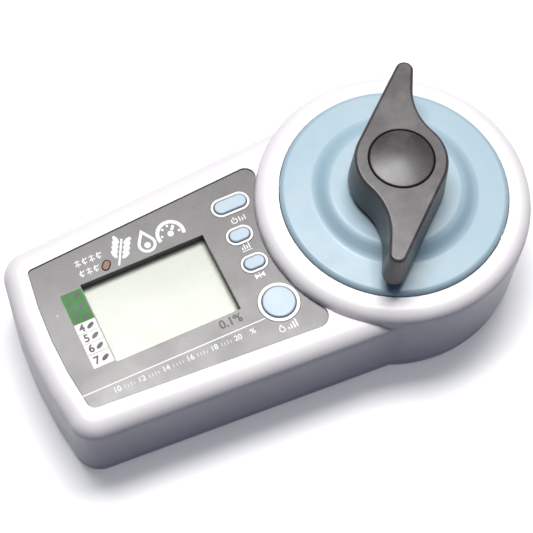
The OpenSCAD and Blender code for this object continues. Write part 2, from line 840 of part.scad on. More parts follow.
// Move what follows to battery i's end of the bay, s = -1 at the tail, pointing into it
module bay_end_place(i, s) {
    translate([s > 0 ? bay_x1 : bay_x0, cell_y(i), cell_z]) rotate([0, -90 * s, 0]) children();
}
// A sheet contact against the end of the bay
module contact_sheet() {
    translate([-contact_w / 2, -contact_h / 2, 0]) cube([contact_w, contact_h, contact_t]);
}

// A coil spring against a battery's flat end, on its end plate
module battery_springs() color("silver") for (i = [0 : 1 : cell_count - 1])
    bay_end_place(i, turned(i) == 0 ? 1 : -1) {
        contact_sheet();
        for (k = [0 : coil_turns - 1]) translate([0, 0, 2 * contact_t + k * coil_pitch])
            rotate_extrude() translate([coil_r - k * coil_step, 0]) circle(r = wire_r, $fn = 24);
    }
module battery_plates() color("silver") for (i = [0 : 1 : cell_count - 1])
    bay_end_place(i, turned(i) == 0 ? -1 : 1) {
        contact_sheet();
        cylinder(r = plate_r, h = plate_l);
    }

module battery_door() color("gainsboro") difference() {
    union() {
        translate([door_x0, -door_w / 2, foot_gap]) cube([door_x1 - door_x0, door_w, door_t]);
        for (s = [-1, 1]) translate([hinge_x, s * knuckle_y - knuckle_l / 2, hinge_z]) {
            rotate([-90, 0, 0]) cylinder(r = knuckle_r, h = knuckle_l);
            translate([door_x1 - hinge_x - 0.5, 0, -knuckle_r])
                cube([hinge_x - door_x1 + 0.5, knuckle_l, door_t]);
        }
    }
    translate([hinge_x, -door_w, hinge_z]) rotate([-90, 0, 0]) cylinder(r = pin_r + fit_gap, h = 2 * door_w);
    finger_notch();
    for (k = [0 : grip_lines - 1])
        translate([door_x0 + 10 + grip_pitch * k, -grip_l / 2, foot_gap - 1])
            cube([grip_pitch / 2, grip_l, 1.4]);
}
module door_pin() color("silver")
    translate([hinge_x, -knuckle_y - knuckle_l / 2, hinge_z]) rotate([-90, 0, 0])
        cylinder(r = pin_r, h = 2 * knuckle_y + knuckle_l);

module cell_base() color("ivory") difference() {
    on_head() union() {
        ring(cell_flange_r, cell_in_r, floor_z, floor_z + cell_flange_t);
        ring(cell_out_r, cell_in_r, floor_z, cell_top);
        rod(0, 0, cell_in_r + 0.5, cell_floor - 4, cell_floor);
        rod(probe_x, 0, probe_r + 1, cell_floor - 0.5, dish_z - 1.5);
    }
    on_head() sleeve_keys(slide_gap, cell_top + 1);
    cell_rods(cell_screw_r + 0.1, 0, head_top);
    on_head() rod(0, 0, terminal_r, 0, head_top);
    on_head() rod(probe_x, 0, probe_r, cell_floor - 2, head_top);
}
// The two keys that keep the guide sleeve from turning, grown by d, up to z1
module sleeve_keys(d, z1) {
    w = key_w + 2 * d;
    depth = key_out - key_in + 2 * d;
    for (s = [-1, 1])
        translate([-w / 2, (s * (key_in + key_out) - depth) / 2, key_z - d]) cube([w, depth, z1 - key_z + d]);
}
module cell_screws() color("silver") {
    cell_rods(cell_screw_head_r, floor_z + cell_flange_t, floor_z + cell_flange_t + cell_screw_head_h);
    cell_rods(cell_screw_r, floor_z - 2, floor_z + cell_flange_t);
}
module lower_electrode() color("silver") on_head() {
    rod(0, 0, lower_r, cell_floor, dish_z);
    rod(0, 0, terminal_r, cell_floor - 6, cell_floor);
}
module temperature_probe() color("goldenrod") on_head() {
    rod(probe_x, 0, probe_r, cell_floor - 2, dish_z - 0.1);
}
module sample_dish() color("lightgray") on_head() difference() {
    rod(0, 0, dish_out_r, dish_z, dish_rim);
    rod(0, 0, dish_r, dish_floor, dish_rim + 1);
}

module lock_ring() color("silver") difference() {
    sector = 360 / lug_count;
    on_head() {
        ring(lock_r, groove_r, lock_z, seat_z);
        difference() {
            ring(groove_r + 0.5, ledge_r, lock_z, seat_z);
            for (i = [0 : lug_count - 1]) {
                lock_slot(seat_z - ledge_t, stop_angle(i) - sector / 2, sector - stop_a);
                lock_slot(seat_z + 1, slot_angle(i), lug_a + 2 * lug_slack);
            }
        }
    }
    lock_rods(lock_screw_r + 0.1, 0, head_top);
    lock_rods(lock_screw_head_r + 0.1, seat_z - lock_screw_head_h, head_top);
}
// A way for the lid's lugs through the ring's ledge, up to z1
module lock_slot(z1, a, w) {
    ring_part(groove_r + 1, ledge_r - 1, lock_z - 1, z1, a, w);
}
module lock_screws() color("silver") {
    lock_rods(lock_screw_head_r, seat_z - lock_screw_head_h, seat_z - 0.1);
    lock_rods(lock_screw_r, seat_z - lock_screw_l, seat_z - lock_screw_head_h);
}

module guide_sleeve() color("lightgray") on_head() {
    ring(skirt_in_r - slide_gap, sleeve_in_r, sleeve_z1, sleeve_z1 + sleeve_flange_t);
    ring(sleeve_out_r, sleeve_in_r, sleeve_z0, sleeve_z1 + 0.5);
    intersection() {
        sleeve_ribs(0, sleeve_z0 + 0.2, sleeve_z1 + sleeve_flange_t);
        rod(0, 0, sleeve_in_r + 0.5, 0, head_top);
    }
    sleeve_keys(0, sleeve_z0 + 3);
}
// The two ribs that keep the piston from turning, grown by d, from z0 to z1
module sleeve_ribs(d, z0, z1) {
    for (s = [-1, 1])
        translate([s * (rib_in_r + rib_w / 2 - d) - rib_w / 2, -rib_w / 2 - d, z0])
            cube([rib_w, rib_w + 2 * d, z1 - z0]);
}
module sleeve_clip() color("silver") on_head()
    ring(skirt_in_r + clip_bite, skirt_in_r - clip_w, clip_z, clip_z + clip_t);

module press_lid() color("lightblue") on_head() difference() {
    union() {
        rotate_extrude() polygon(concat(
            [[bush_r, boss_z], [boss_r, boss_z], [boss_r, crown_z - lid_t]],
            [[crown_r - 0.8, crown_z - lid_t]],
            [[crown_foot_r - 1.2, lid_flat_z - lid_t], [skirt_in_r, lid_flat_z - lid_t]],
            [[skirt_in_r, skirt_z], [skirt_r, skirt_z], [skirt_r, rim_z], [lid_r, rim_z]],
            arc(flat_r, lid_flat_z - lid_edge_r, lid_edge_r, 0, 90, 6),
            [[crown_foot_r, lid_flat_z], [crown_r, crown_z], [bush_r, crown_z]]
        ));
        for (i = [0 : lug_count - 1]) ring_part(lug_r, skirt_r - 0.5, skirt_z, lug_top, slot_angle(i), lug_a);
    }
    ring(skirt_in_r + clip_bite + 0.1, skirt_in_r - 1, clip_z - 0.1, clip_z + clip_t + 0.1);
    ring(seal_r, seal_r - seal_w, rim_z - 1, seal_z + seal_t);
}
module lid_seal() color("dimgray") on_head() ring(seal_r, seal_r - seal_w, seal_z, seal_z + seal_t);
module spindle_bush() color("goldenrod") on_head() {
    ring(bush_r, journal_r + fit_gap, boss_z, crown_z);
    ring(bush_flange_r, journal_r + fit_gap, crown_z, crown_z + bush_flange_t);
}

module spindle() color("silver") on_head() difference() {
    union() {
        rod(0, 0, thread_r, thread_end, collar_z);
        rod(0, 0, collar_r, collar_z, collar_z + collar_t);
        rod(0, 0, journal_r, collar_z + collar_t, hub_foot_z - 0.1);
        translate([0, 0, hub_foot_z - 0.1]) cylinder(r = hex_r, h = hex_h, $fn = 6);
    }
    rod(0, 0, handle_screw_r, handle_screw_end - 1, head_top + wing_h * 2);
}

// Plan of the wing handle: two arms, each hollow-curved on one side and straight
// on the other, that run smoothly into a round middle and a round tip
module wing_plan() {
    polygon([for (a = [0, 180]) for (p = concat(
        arc(sweep_x, -tip_r - sweep_r, sweep_r, 180 - sweep_a, 90, 14),
        arc(arm_l, 0, tip_r, -90, 90 - lean_a, 12),
        arc(0, 0, hub_r, 90 - lean_a, 180 - sweep_a, 12)
    )) [p[0] * cos(a) - p[1] * sin(a), p[0] * sin(a) + p[1] * cos(a)]]);
}
module wing_handle() color("gray") on_head() rotate([0, 0, wing_angle]) difference() {
    union() {
        translate([0, 0, wing_z]) linear_extrude(wing_h) wing_plan();
        rod(0, 0, hub_foot_r, hub_foot_z, wing_z + 1);
    }
    rod(0, 0, cap_r + cap_gap, cap_z, wing_top + 1);
    translate([0, 0, hub_foot_z - 1]) rotate([0, 0, -wing_angle])
        cylinder(r = hex_r + 0.15, h = hex_h + 1.3, $fn = 6);
    rod(0, 0, handle_screw_r + 0.2, 0, wing_top);
}
module handle_screw() color("silver") on_head() difference() {
    union() {
        rod(0, 0, handle_screw_r - 0.05, handle_screw_end, cap_z);
        rod(0, 0, handle_screw_head_r, cap_z, cap_z + handle_screw_head_h);
    }
    translate([0, 0, cap_z + 0.8]) cylinder(r = handle_screw_key_r, h = 3, $fn = 6);
}
module handle_cap() color("gray") on_head() {
    dome_r = (cap_r * cap_r + cap_dome * cap_dome) / (2 * cap_dome);
    rotate_extrude() polygon(concat(
        [[0, wing_top - cap_plate_t], [cap_r - cap_wall, wing_top - cap_plate_t]],
        [[cap_r - cap_wall, cap_z], [cap_r, cap_z]],
        arc(0, wing_top + cap_dome - dome_r, dome_r, 90 - asin(cap_r / dome_r), 90, 8)
    ));
}

module press_piston() color("lightgray") on_head() difference() {
    union() {
        rod(0, 0, piston_r, piston_z, piston_z + piston_t);
        rod(0, 0, stem_r, piston_z, nut_z + nut_h);
    }
    rod(0, 0, bore_r, 0, head_top);
    translate([0, 0, nut_z]) cylinder(r = nut_r + fit_gap, h = head_top, $fn = 6);
    sleeve_ribs(slide_gap, 0, head_top);
    electrode_rods(electrode_screw_r + 0.1, 0, head_top);
}
module press_nut() color("goldenrod") on_head() difference() {
    translate([0, 0, nut_z]) cylinder(r = nut_r, h = nut_h, $fn = 6);
    rod(0, 0, thread_r + fit_gap, 0, head_top);
}
module press_insulator() color("ivory") on_head() difference() {
    rod(0, 0, electrode_r, press_face + upper_t, piston_z);
    rod(0, 0, bore_r, 0, head_top);
    electrode_rods(electrode_screw_r + 0.1, 0, head_top);
}
module upper_electrode() color("silver") on_head() difference() {
    rod(0, 0, electrode_r, press_face, press_face + upper_t);
    for (k = [0.3, 0.55, 0.8])
        ring(electrode_r * k + 0.5, electrode_r * k - 0.5, press_face - 1, press_face + face_groove);
    electrode_rods(electrode_screw_r, press_face + face_groove + 0.3, head_top);
}
module electrode_screws() color("silver") on_head() {
    screw_seat = piston_z + piston_t;
    electrode_rods(electrode_screw_r, press_face + face_groove + 0.3, screw_seat);
    electrode_rods(electrode_screw_head_r, screw_seat, screw_seat + electrode_screw_head_h);
}

upper_case();
lower_case();
case_screws();
foot_pads();
overlay_panel();
display_bezel();
display_window();
display_cell();
contact_strips();
main_board();
board_screws();
indicator_lens();
indicator_led();
switch_power();
switch_average();
switch_select();
switch_measure();
button_power();
button_average();
button_select();
button_measure();
battery_tray();
battery_1();
battery_2();
battery_3();
battery_4();
battery_springs();
battery_plates();
battery_door();
door_pin();
cell_base();
cell_screws();
lower_electrode();
temperature_probe();
sample_dish();
lock_ring();
lock_screws();
guide_sleeve();
sleeve_clip();
press_lid();
lid_seal();
spindle_bush();
spindle();
wing_handle();
handle_screw();
handle_cap();
press_piston();
press_nut();
press_insulator();
upper_electrode();
electrode_screws();
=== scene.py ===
# %% [markdown]
# # A grain moisture meter
# The CAD model gives every size, every moving body and every hidden piece. This lesson
# dresses it: the pieces that the eye rests on are modelled again with softer edges, and
# each one then rides on the CAD body it belongs to.

# %% Load the frame and take its measurements
import json
import math

import bmesh
import bpy
from mathutils import Matrix, Vector


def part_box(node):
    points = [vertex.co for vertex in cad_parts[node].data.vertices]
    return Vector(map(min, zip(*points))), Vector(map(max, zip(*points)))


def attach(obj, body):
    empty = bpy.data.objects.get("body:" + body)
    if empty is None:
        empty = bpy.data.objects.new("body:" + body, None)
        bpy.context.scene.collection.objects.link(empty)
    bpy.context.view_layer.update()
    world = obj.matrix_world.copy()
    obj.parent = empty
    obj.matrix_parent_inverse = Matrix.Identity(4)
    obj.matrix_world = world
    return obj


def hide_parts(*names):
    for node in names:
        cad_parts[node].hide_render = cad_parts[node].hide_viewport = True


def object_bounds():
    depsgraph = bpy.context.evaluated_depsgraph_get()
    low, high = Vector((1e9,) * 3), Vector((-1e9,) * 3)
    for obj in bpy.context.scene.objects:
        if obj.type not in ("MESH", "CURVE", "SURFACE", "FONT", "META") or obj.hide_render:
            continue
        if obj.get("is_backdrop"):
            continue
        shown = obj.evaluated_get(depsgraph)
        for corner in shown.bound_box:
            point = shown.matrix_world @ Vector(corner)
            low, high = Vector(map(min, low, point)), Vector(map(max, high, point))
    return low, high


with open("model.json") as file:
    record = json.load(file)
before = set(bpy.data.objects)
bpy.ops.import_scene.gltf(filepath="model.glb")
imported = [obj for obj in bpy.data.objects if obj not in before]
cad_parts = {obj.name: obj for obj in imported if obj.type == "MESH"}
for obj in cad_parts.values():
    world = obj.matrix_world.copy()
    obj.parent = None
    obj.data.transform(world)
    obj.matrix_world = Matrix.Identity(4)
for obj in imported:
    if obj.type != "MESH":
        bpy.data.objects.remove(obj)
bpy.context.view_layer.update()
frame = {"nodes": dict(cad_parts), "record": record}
MM = 0.001


def box_mm(node):
    """Lowest and highest corner of a CAD node, in millimetres."""
    low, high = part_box(node)
    return low / MM, high / MM


lid_low, lid_high = box_mm("press_lid")
case_low, case_high = box_mm("upper_case")
HEAD_X = (lid_low.x + lid_high.x) / 2
HEAD_R = case_high.x - HEAD_X
HEAD_TOP = case_high.z
TAIL_X = case_low.x
SEAM_Z = case_low.z
print("head axis at", round(HEAD_X, 2), "head radius", round(HEAD_R, 2), "top", round(HEAD_TOP, 2))

# %% [markdown]
# ## The camera
# A product picture of a hand-held meter is taken from high up with a long lens, so that
# its top fills the picture and its sides hardly narrow. The camera is set by the point
# it looks at, its distance and three angles, which is easier to adjust than a matrix.

# %% Camera
AIM = Vector((-5.096, -1.558, 29.034)) * MM
DISTANCE = 543.9 * MM
AZIMUTH, ELEVATION, ROLL = (math.radians(a) for a in (-30.09, 64.21, 4.70))

back = Vector((
    math.sin(AZIMUTH) * math.cos(ELEVATION),
    -math.cos(AZIMUTH) * math.cos(ELEVATION),
    math.sin(ELEVATION)))
level = Vector((0, 0, 1)).cross(back).normalized()
upright = back.cross(level)
right = level * math.cos(ROLL) + upright * math.sin(ROLL)
up = upright * math.cos(ROLL) - level * math.sin(ROLL)

camera = bpy.data.objects.new("camera", bpy.data.cameras.new("camera"))
camera.data.lens = 108.05
camera.data.sensor_width = 36
turned_to = Matrix((right, up, back)).transposed().to_4x4()
camera.matrix_world = Matrix.Translation(AIM + back * DISTANCE) @ turned_to
bpy.context.scene.collection.objects.link(camera)
bpy.context.scene.camera = camera
print("camera", [round(c / MM, 1) for c in camera.matrix_world.translation])

# %% [markdown]
# ## Floor and light
# The meter lies on a plain white table. One wide light hangs above and behind it, so the
# top is bright and the near sides fall into a cool shade. A second light overhead and
# two weak ones at the sides soften it, and a faint blue surround keeps the shade from
# going black. The floor doesn't light the object from below, because a studio sweep
# that bright would wash the shade out.

# %% Floor, lights and surround
def srgb(red, green, blue):
    """A colour from 0-255 screen values, as the linear values that shaders use."""
    linear = [
        c / 255 / 12.92 if c < 11 else ((c / 255 + 0.055) / 1.055) ** 2.4
        for c in (red, green, blue)]
    return (*linear, 1.0)


def area_light(name, place, aim, width, height, power, tint):
    """A soft rectangular light that shines from a place towards a point."""
    lamp = bpy.data.lights.new(name, "AREA")
    lamp.shape = "RECTANGLE"
    lamp.size, lamp.size_y = width, height
    lamp.energy = power
    lamp.color = tint
    holder = bpy.data.objects.new(name, lamp)
    holder.location = place
    holder.rotation_euler = (Vector(aim) - Vector(place)).to_track_quat("-Z", "Y").to_euler()
    bpy.context.scene.collection.objects.link(holder)


floor_mesh = bmesh.new()
bmesh.ops.create_grid(floor_mesh, x_segments=1, y_segments=1, size=6)
floor = bpy.data.objects.new("floor", bpy.data.meshes.new("floor"))
floor_mesh.to_mesh(floor.data)
floor_mesh.free()
bpy.context.scene.collection.objects.link(floor)
floor.visible_diffuse = False
paper = bpy.data.materials.new("table_white")
paper.use_nodes = True
paper_shader = paper.node_tree.nodes["Principled BSDF"]
paper_shader.inputs["Base Color"].default_value = (0.93, 0.93, 0.93, 1)
paper_shader.inputs["Roughness"].default_value = 0.9
paper_shader.inputs["Emission Color"].default_value = (1, 1, 1, 1)
paper_shader.inputs["Emission Strength"].default_value = 0.2
floor.data.materials.append(paper)
floor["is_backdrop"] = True

area_light("key", (0.08, 0.33, 1.25), (0, 0, 0), 0.8, 0.4, 19.0, (1.0, 0.99, 0.98))
area_light("top", (0.05, 0.12, 1.4), (0, 0, 0), 1.0, 0.8, 3.0, (1.0, 1.0, 1.0))
area_light("left", (-0.9, -0.10, 0.25), (0, 0, 0.02), 0.5, 0.3, 0.08, (0.95, 0.97, 1.0))
area_light("right", (1.0, -0.10, 0.25), (0, 0, 0.02), 0.5, 0.3, 0.12, (0.97, 0.97, 1.0))

world = bpy.data.worlds.new("surround")
bpy.context.scene.world = world
world.use_nodes = True
world.node_tree.nodes["Background"].inputs["Color"].default_value = (0.52, 0.60, 1.0, 1)
world.node_tree.nodes["Background"].inputs["Strength"].default_value = 0.10
bpy.context.scene.view_settings.view_transform = "Standard"

# %% [markdown]
# ## Effects that several finishes share
# Moulded plastic is never perfectly even. A mould's spark-eroded face leaves a fine
# grain, dust settles on what faces up, the tone drifts a little from place to place,
# and the edges get a painted highlight, a lighter tone laid on in patches. Each effect is
# one node group, so that every material can use it at its own strength. Photographs of
# plastic could give the same detail, but nodes stay sharp at any distance and need no unwrapping.

# %% Node groups
def link(tree, source, target):
    tree.links.new(source, target)


def new_group(name, inputs, outputs):
    """An empty shader group with named float inputs and outputs."""
    tree = bpy.data.node_groups.new(name, "ShaderNodeTree")
    for socket, value in inputs.items():
        made = tree.interface.new_socket(socket, in_out="INPUT", socket_type="NodeSocketFloat")
        made.default_value = value
    for socket in outputs:
        tree.interface.new_socket(socket, in_out="OUTPUT", socket_type="NodeSocketFloat")
    return tree, tree.nodes.new("NodeGroupInput"), tree.nodes.new("NodeGroupOutput")


def add_noise(tree, detail, rough, scale=None, scale_value=None, stretch=None):
    """A noise texture on object coordinates; stretch makes it streaky."""
    where = tree.nodes.new("ShaderNodeTexCoord")
    noise = tree.nodes.new("ShaderNodeTexNoise")
    noise.inputs["Detail"].default_value = detail
    noise.inputs["Roughness"].default_value = rough
    if stretch:
        mapping = tree.nodes.new("ShaderNodeMapping")
        mapping.inputs["Scale"].default_value = stretch
        link(tree, where.outputs["Object"], mapping.inputs["Vector"])
        link(tree, mapping.outputs["Vector"], noise.inputs["Vector"])
    else:
        link(tree, where.outputs["Object"], noise.inputs["Vector"])
    if scale is not None:
        link(tree, scale, noise.inputs["Scale"])
    else:
        noise.inputs["Scale"].default_value = scale_value
    return noise.outputs["Fac"]


def add_range(tree, value, low, high, to_low, to_high):
    """Stretch part of a value's range over another range, and clamp it there."""
    node = tree.nodes.new("ShaderNodeMapRange")
    for socket, number in zip(("From Min", "From Max", "To Min", "To Max"), (low, high, to_low, to_high)):
        if isinstance(number, bpy.types.NodeSocket):
            link(tree, number, node.inputs[socket])
        else:
            node.inputs[socket].default_value = number
    link(tree, value, node.inputs["Value"])
    return node.outputs["Result"]


def add_math(tree, operation, first, second):
    """One sum of two values, where either may be a number."""
    node = tree.nodes.new("ShaderNodeMath")
    node.operation = operation
    for socket, number in zip(node.inputs, (first, second)):
        if isinstance(number, bpy.types.NodeSocket):
            link(tree, number, socket)
        else:
            socket.default_value = number
    return node.outputs["Value"]


def make_moulded_grain():
    tree, inside, outside = new_group("moulded_grain", {"Scale": 3000, "Depth": 1}, ["Height"])
    fine = add_noise(tree, 3, 0.6, scale=inside.outputs["Scale"])
    wide = add_noise(tree, 1, 0.5, scale_value=260)
    fine, wide = add_math(tree, "MULTIPLY", fine, 0.8), add_math(tree, "MULTIPLY", wide, 0.5)
    mixed = add_math(tree, "ADD", fine, wide)
    link(tree, add_math(tree, "MULTIPLY", mixed, inside.outputs["Depth"]), outside.inputs["Height"])
    return tree


def make_painted_edge_highlight():
    tree, inside, outside = new_group("painted_edge_highlight", {"Amount": 0.5}, ["Mask"])
    # Painted edge highlight: the edges are found where the bevel's normal turns away from the face's, and
    # are marked, in patches, for a lighter tone.
    rounded = tree.nodes.new("ShaderNodeBevel")
    rounded.samples = 4
    rounded.inputs["Radius"].default_value = 0.7 * MM
    shape = tree.nodes.new("ShaderNodeNewGeometry")
    turn = tree.nodes.new("ShaderNodeVectorMath")
    turn.operation = "DOT_PRODUCT"
    link(tree, rounded.outputs["Normal"], turn.inputs[0])
    link(tree, shape.outputs["Normal"], turn.inputs[1])
    edge = add_range(tree, turn.outputs["Value"], 0.995, 0.85, 0, 1)
    patchy = add_range(tree, add_noise(tree, 4, 0.6, scale_value=420), 0.35, 0.65, 0.2, 1)
    # The patchy edge mask of the painted highlight.
    highlight_patches = add_math(tree, "MULTIPLY", edge, patchy)
    link(tree, add_math(tree, "MULTIPLY", highlight_patches, inside.outputs["Amount"]), outside.inputs["Mask"])
    return tree


def make_settled_dust():
    tree, inside, outside = new_group("settled_dust", {"Amount": 0.3}, ["Mask"])
    shape = tree.nodes.new("ShaderNodeNewGeometry")
    split = tree.nodes.new("ShaderNodeSeparateXYZ")
    link(tree, shape.outputs["Normal"], split.inputs["Vector"])
    upward = add_range(tree, split.outputs["Z"], 0.3, 1, 0, 1)
    clouds = add_range(tree, add_noise(tree, 6, 0.65, scale_value=70), 0.42, 0.75, 0, 1)
    specks = add_range(tree, add_noise(tree, 2, 0.5, scale_value=1900), 0.66, 0.74, 0, 0.8)
    both = add_math(tree, "MULTIPLY", add_math(tree, "ADD", clouds, specks), upward)
    link(tree, add_math(tree, "MULTIPLY", both, inside.outputs["Amount"]), outside.inputs["Mask"])
    return tree


def make_tone_drift():
    tree, inside, outside = new_group("tone_drift", {"Scale": 18}, ["Mask"])
    slow = add_noise(tree, 3, 0.55, scale=inside.outputs["Scale"])
    link(tree, add_range(tree, slow, 0.32, 0.68, 0, 1), outside.inputs["Mask"])
    return tree


def make_hairlines():
    tree, inside, outside = new_group("hairlines", {"Amount": 0.5}, ["Mask"])
    along = add_noise(tree, 2, 0.5, scale_value=1, stretch=(60, 5200, 60))
    across = add_noise(tree, 2, 0.5, scale_value=1, stretch=(4300, 90, 90))
    along = add_range(tree, along, 0.64, 0.72, 0, 1)
    across = add_range(tree, across, 0.67, 0.74, 0, 1)
    lines = add_math(tree, "MAXIMUM", along, across)
    link(tree, add_math(tree, "MULTIPLY", lines, inside.outputs["Amount"]), outside.inputs["Mask"])
    return tree


# The edge group is a painted edge highlight that lightens every edge.
GROUPS = {
    "grain": make_moulded_grain(), "edge": make_painted_edge_highlight(), "dust": make_settled_dust(),
    "drift": make_tone_drift(), "hairlines": make_hairlines(),
}
print("effect groups", [g.name for g in GROUPS.values()])

# %% [markdown]
# ## Finishes
# Every finish mixes two close tones by the slow drift, lays the dust and a painted edge
# highlight over them, and takes its bump from the grain. What sets white plastic, satin grey
# paint and brushed steel apart is the numbers: how coarse the grain is, how rough and
# how metallic the surface is, and how much dust, scratching and painted edge highlight shows.

# %% Material maker
def use_group(tree, kind, **values):
    """Place a shared effect in a material with its own values."""
    node = tree.nodes.new("ShaderNodeGroup")
    node.node_tree = GROUPS[kind]
    for socket, value in values.items():
        node.inputs[socket].default_value = value
    return node.outputs[0]


def mix_colour(tree, mask, first, second):
    """Blend two colours by a mask; each may be a socket or a colour."""
    node = tree.nodes.new("ShaderNodeMix")
    node.data_type = "RGBA"
    link(tree, mask, node.inputs["Factor"])
    for socket, colour in ((node.inputs[6], first), (node.inputs[7], second)):
        if isinstance(colour, bpy.types.NodeSocket):
            link(tree, colour, socket)
        else:
            socket.default_value = colour
    return node.outputs[2]


def finish(
        name, tone, deep, rough, grain=3000, depth=0.3, edge=0.3, edge_tone=None, dust=0.15,
        scratches=0.3, drift=18, **fixed):
    """A painted or moulded finish. Fixed values go straight onto the shader."""
    material = bpy.data.materials.new(name)
    material.use_nodes = True
    tree = material.node_tree
    shader = tree.nodes["Principled BSDF"]
    colour = mix_colour(tree, use_group(tree, "drift", Scale=drift), tone, deep)
    # Painted edge highlight: the edges are blended towards the lighter edge tone.
    if edge:
        colour = mix_colour(tree, use_group(tree, "edge", Amount=edge), colour, edge_tone or tone)
    if dust:
        colour = mix_colour(tree, use_group(tree, "dust", Amount=dust), colour, srgb(206, 202, 196))
    link(tree, colour, shader.inputs["Base Color"])
    hairlines = use_group(tree, "hairlines", Amount=scratches)
    uneven = add_math(tree, "ADD", hairlines, use_group(tree, "drift", Scale=90))
    spread = add_range(tree, uneven, 0, 2, rough * 0.85, min(1, rough * 1.35))
    link(tree, spread, shader.inputs["Roughness"])
    bump = tree.nodes.new("ShaderNodeBump")
    bump.inputs["Strength"].default_value = depth
    bump.inputs["Distance"].default_value = 0.05 * MM
    link(tree, use_group(tree, "grain", Scale=grain), bump.inputs["Height"])
    link(tree, bump.outputs["Normal"], shader.inputs["Normal"])
    for socket, value in fixed.items():
        shader.inputs[socket.replace("_", " ")].default_value = value
    return material


# %% The finishes of this meter
FINISHES = {}


def add_finish(name, *tones, **values):
    """Make a finish and keep it under its name."""
    FINISHES[name] = finish(name, *tones, **values)


# Each edge tone given below is the lighter colour of the painted edge highlight.
add_finish(
    "case_white", srgb(232, 229, 229), srgb(227, 223, 226),
    0.34, grain=2600, depth=0.22, dust=0.05)
add_finish(
    "base_white", srgb(222, 219, 222), srgb(214, 212, 217),
    0.42, grain=2400, depth=0.35, dust=0.05)
add_finish(
    "overlay_grey", srgb(88, 85, 84), srgb(82, 80, 79),
    0.31, grain=3600, depth=0.3, dust=0.08)
add_finish(
    "bezel_dark", srgb(62, 58, 55), srgb(48, 45, 43),
    0.5, edge=0.4, edge_tone=srgb(92, 88, 84))
add_finish(
    "display_pale", srgb(186, 190, 174), srgb(181, 186, 170),
    0.3, depth=0.05, edge=0, dust=0.03)
add_finish(
    "button_blue", srgb(166, 185, 197), srgb(159, 180, 193),
    0.36, depth=0.25, edge_tone=srgb(196, 209, 217))
add_finish(
    "lid_blue", srgb(158, 183, 195), srgb(151, 178, 191),
    0.4, grain=2300, depth=0.3, edge_tone=srgb(174, 195, 206))
add_finish(
    "handle_grey", srgb(58, 54, 54), srgb(51, 48, 48),
    0.36, grain=2800, depth=0.45, edge=0.5, edge_tone=srgb(124, 118, 116))
add_finish(
    "amber_lens", srgb(118, 66, 14), srgb(88, 46, 6),
    0.4, depth=0.05, edge=0, dust=0.02)
add_finish(
    "rubber_dark", srgb(58, 58, 60), srgb(44, 44, 46),
    0.75, grain=1800, depth=0.8, edge=0.3, edge_tone=srgb(92, 92, 92))
add_finish(
    "dark_part", srgb(64, 65, 68), srgb(50, 51, 54),
    0.5, edge=0.4, edge_tone=srgb(96, 96, 98))
add_finish(
    "board_green", srgb(28, 92, 58), srgb(22, 74, 48),
    0.3, depth=0.4, edge_tone=srgb(150, 160, 110))
add_finish(
    "battery_sleeve", srgb(52, 84, 132), srgb(40, 66, 110),
    0.22, depth=0.08, edge_tone=srgb(160, 170, 186))
add_finish(
    "steel", srgb(190, 192, 194), srgb(168, 170, 174),
    0.3, depth=0.25, dust=0.05, scratches=1.0, Metallic=1.0)
add_finish(
    "brass", srgb(214, 178, 104), srgb(188, 148, 78),
    0.28, depth=0.25, dust=0.05, scratches=1.0, Metallic=1.0)
add_finish(
    "cell_ivory", srgb(232, 224, 202), srgb(222, 212, 188),
    0.4, depth=0.3)
add_finish(
    "acetal_grey", srgb(176, 178, 180), srgb(160, 162, 166),
    0.38, depth=0.3)
add_finish(
    "print_white", srgb(236, 236, 234), srgb(222, 222, 220),
    0.5, depth=0.3, edge=0, dust=0.04)
add_finish(
    "print_black", srgb(24, 23, 23), srgb(15, 14, 14),
    0.45, depth=0.3, edge=0, dust=0.04)
add_finish(
    "label_green", srgb(38, 120, 36), srgb(32, 110, 31),
    0.6, depth=0.2, edge=0, dust=0.03)
add_finish(
    "label_white", srgb(236, 231, 229), srgb(226, 220, 218),
    0.55, depth=0.2, edge=0, dust=0.03)
clear = bpy.data.materials.new("window_clear")
clear.use_nodes = True
clear_shader = clear.node_tree.nodes["Principled BSDF"]
clear_shader.inputs["Base Color"].default_value = (0.95, 0.97, 0.95, 1)
clear_shader.inputs["IOR"].default_value = 1.49
plate_tree = clear.node_tree
worn_lines = use_group(plate_tree, "hairlines", Amount=0.6)
link(plate_tree, add_range(plate_tree, worn_lines, 0, 1, 0.08, 0.3), clear_shader.inputs["Roughness"])
thin_dust = use_group(plate_tree, "dust", Amount=0.3)
link(plate_tree, add_range(plate_tree, thin_dust, 0, 1, 0.06, 0.16), clear_shader.inputs["Alpha"])
FINISHES["window_clear"] = clear
print(len(FINISHES), "finishes")

# %% [markdown]
# ## Modelling helpers
# A moulded part is drawn like a drawing-office part: an outline of arcs and straight
# runs, pulled up to its height, with its edges rounded. Spinning a point about a centre
# leaves the arc behind it, which keeps every curve truly round. Round parts are a
# profile spun about the head's axis.

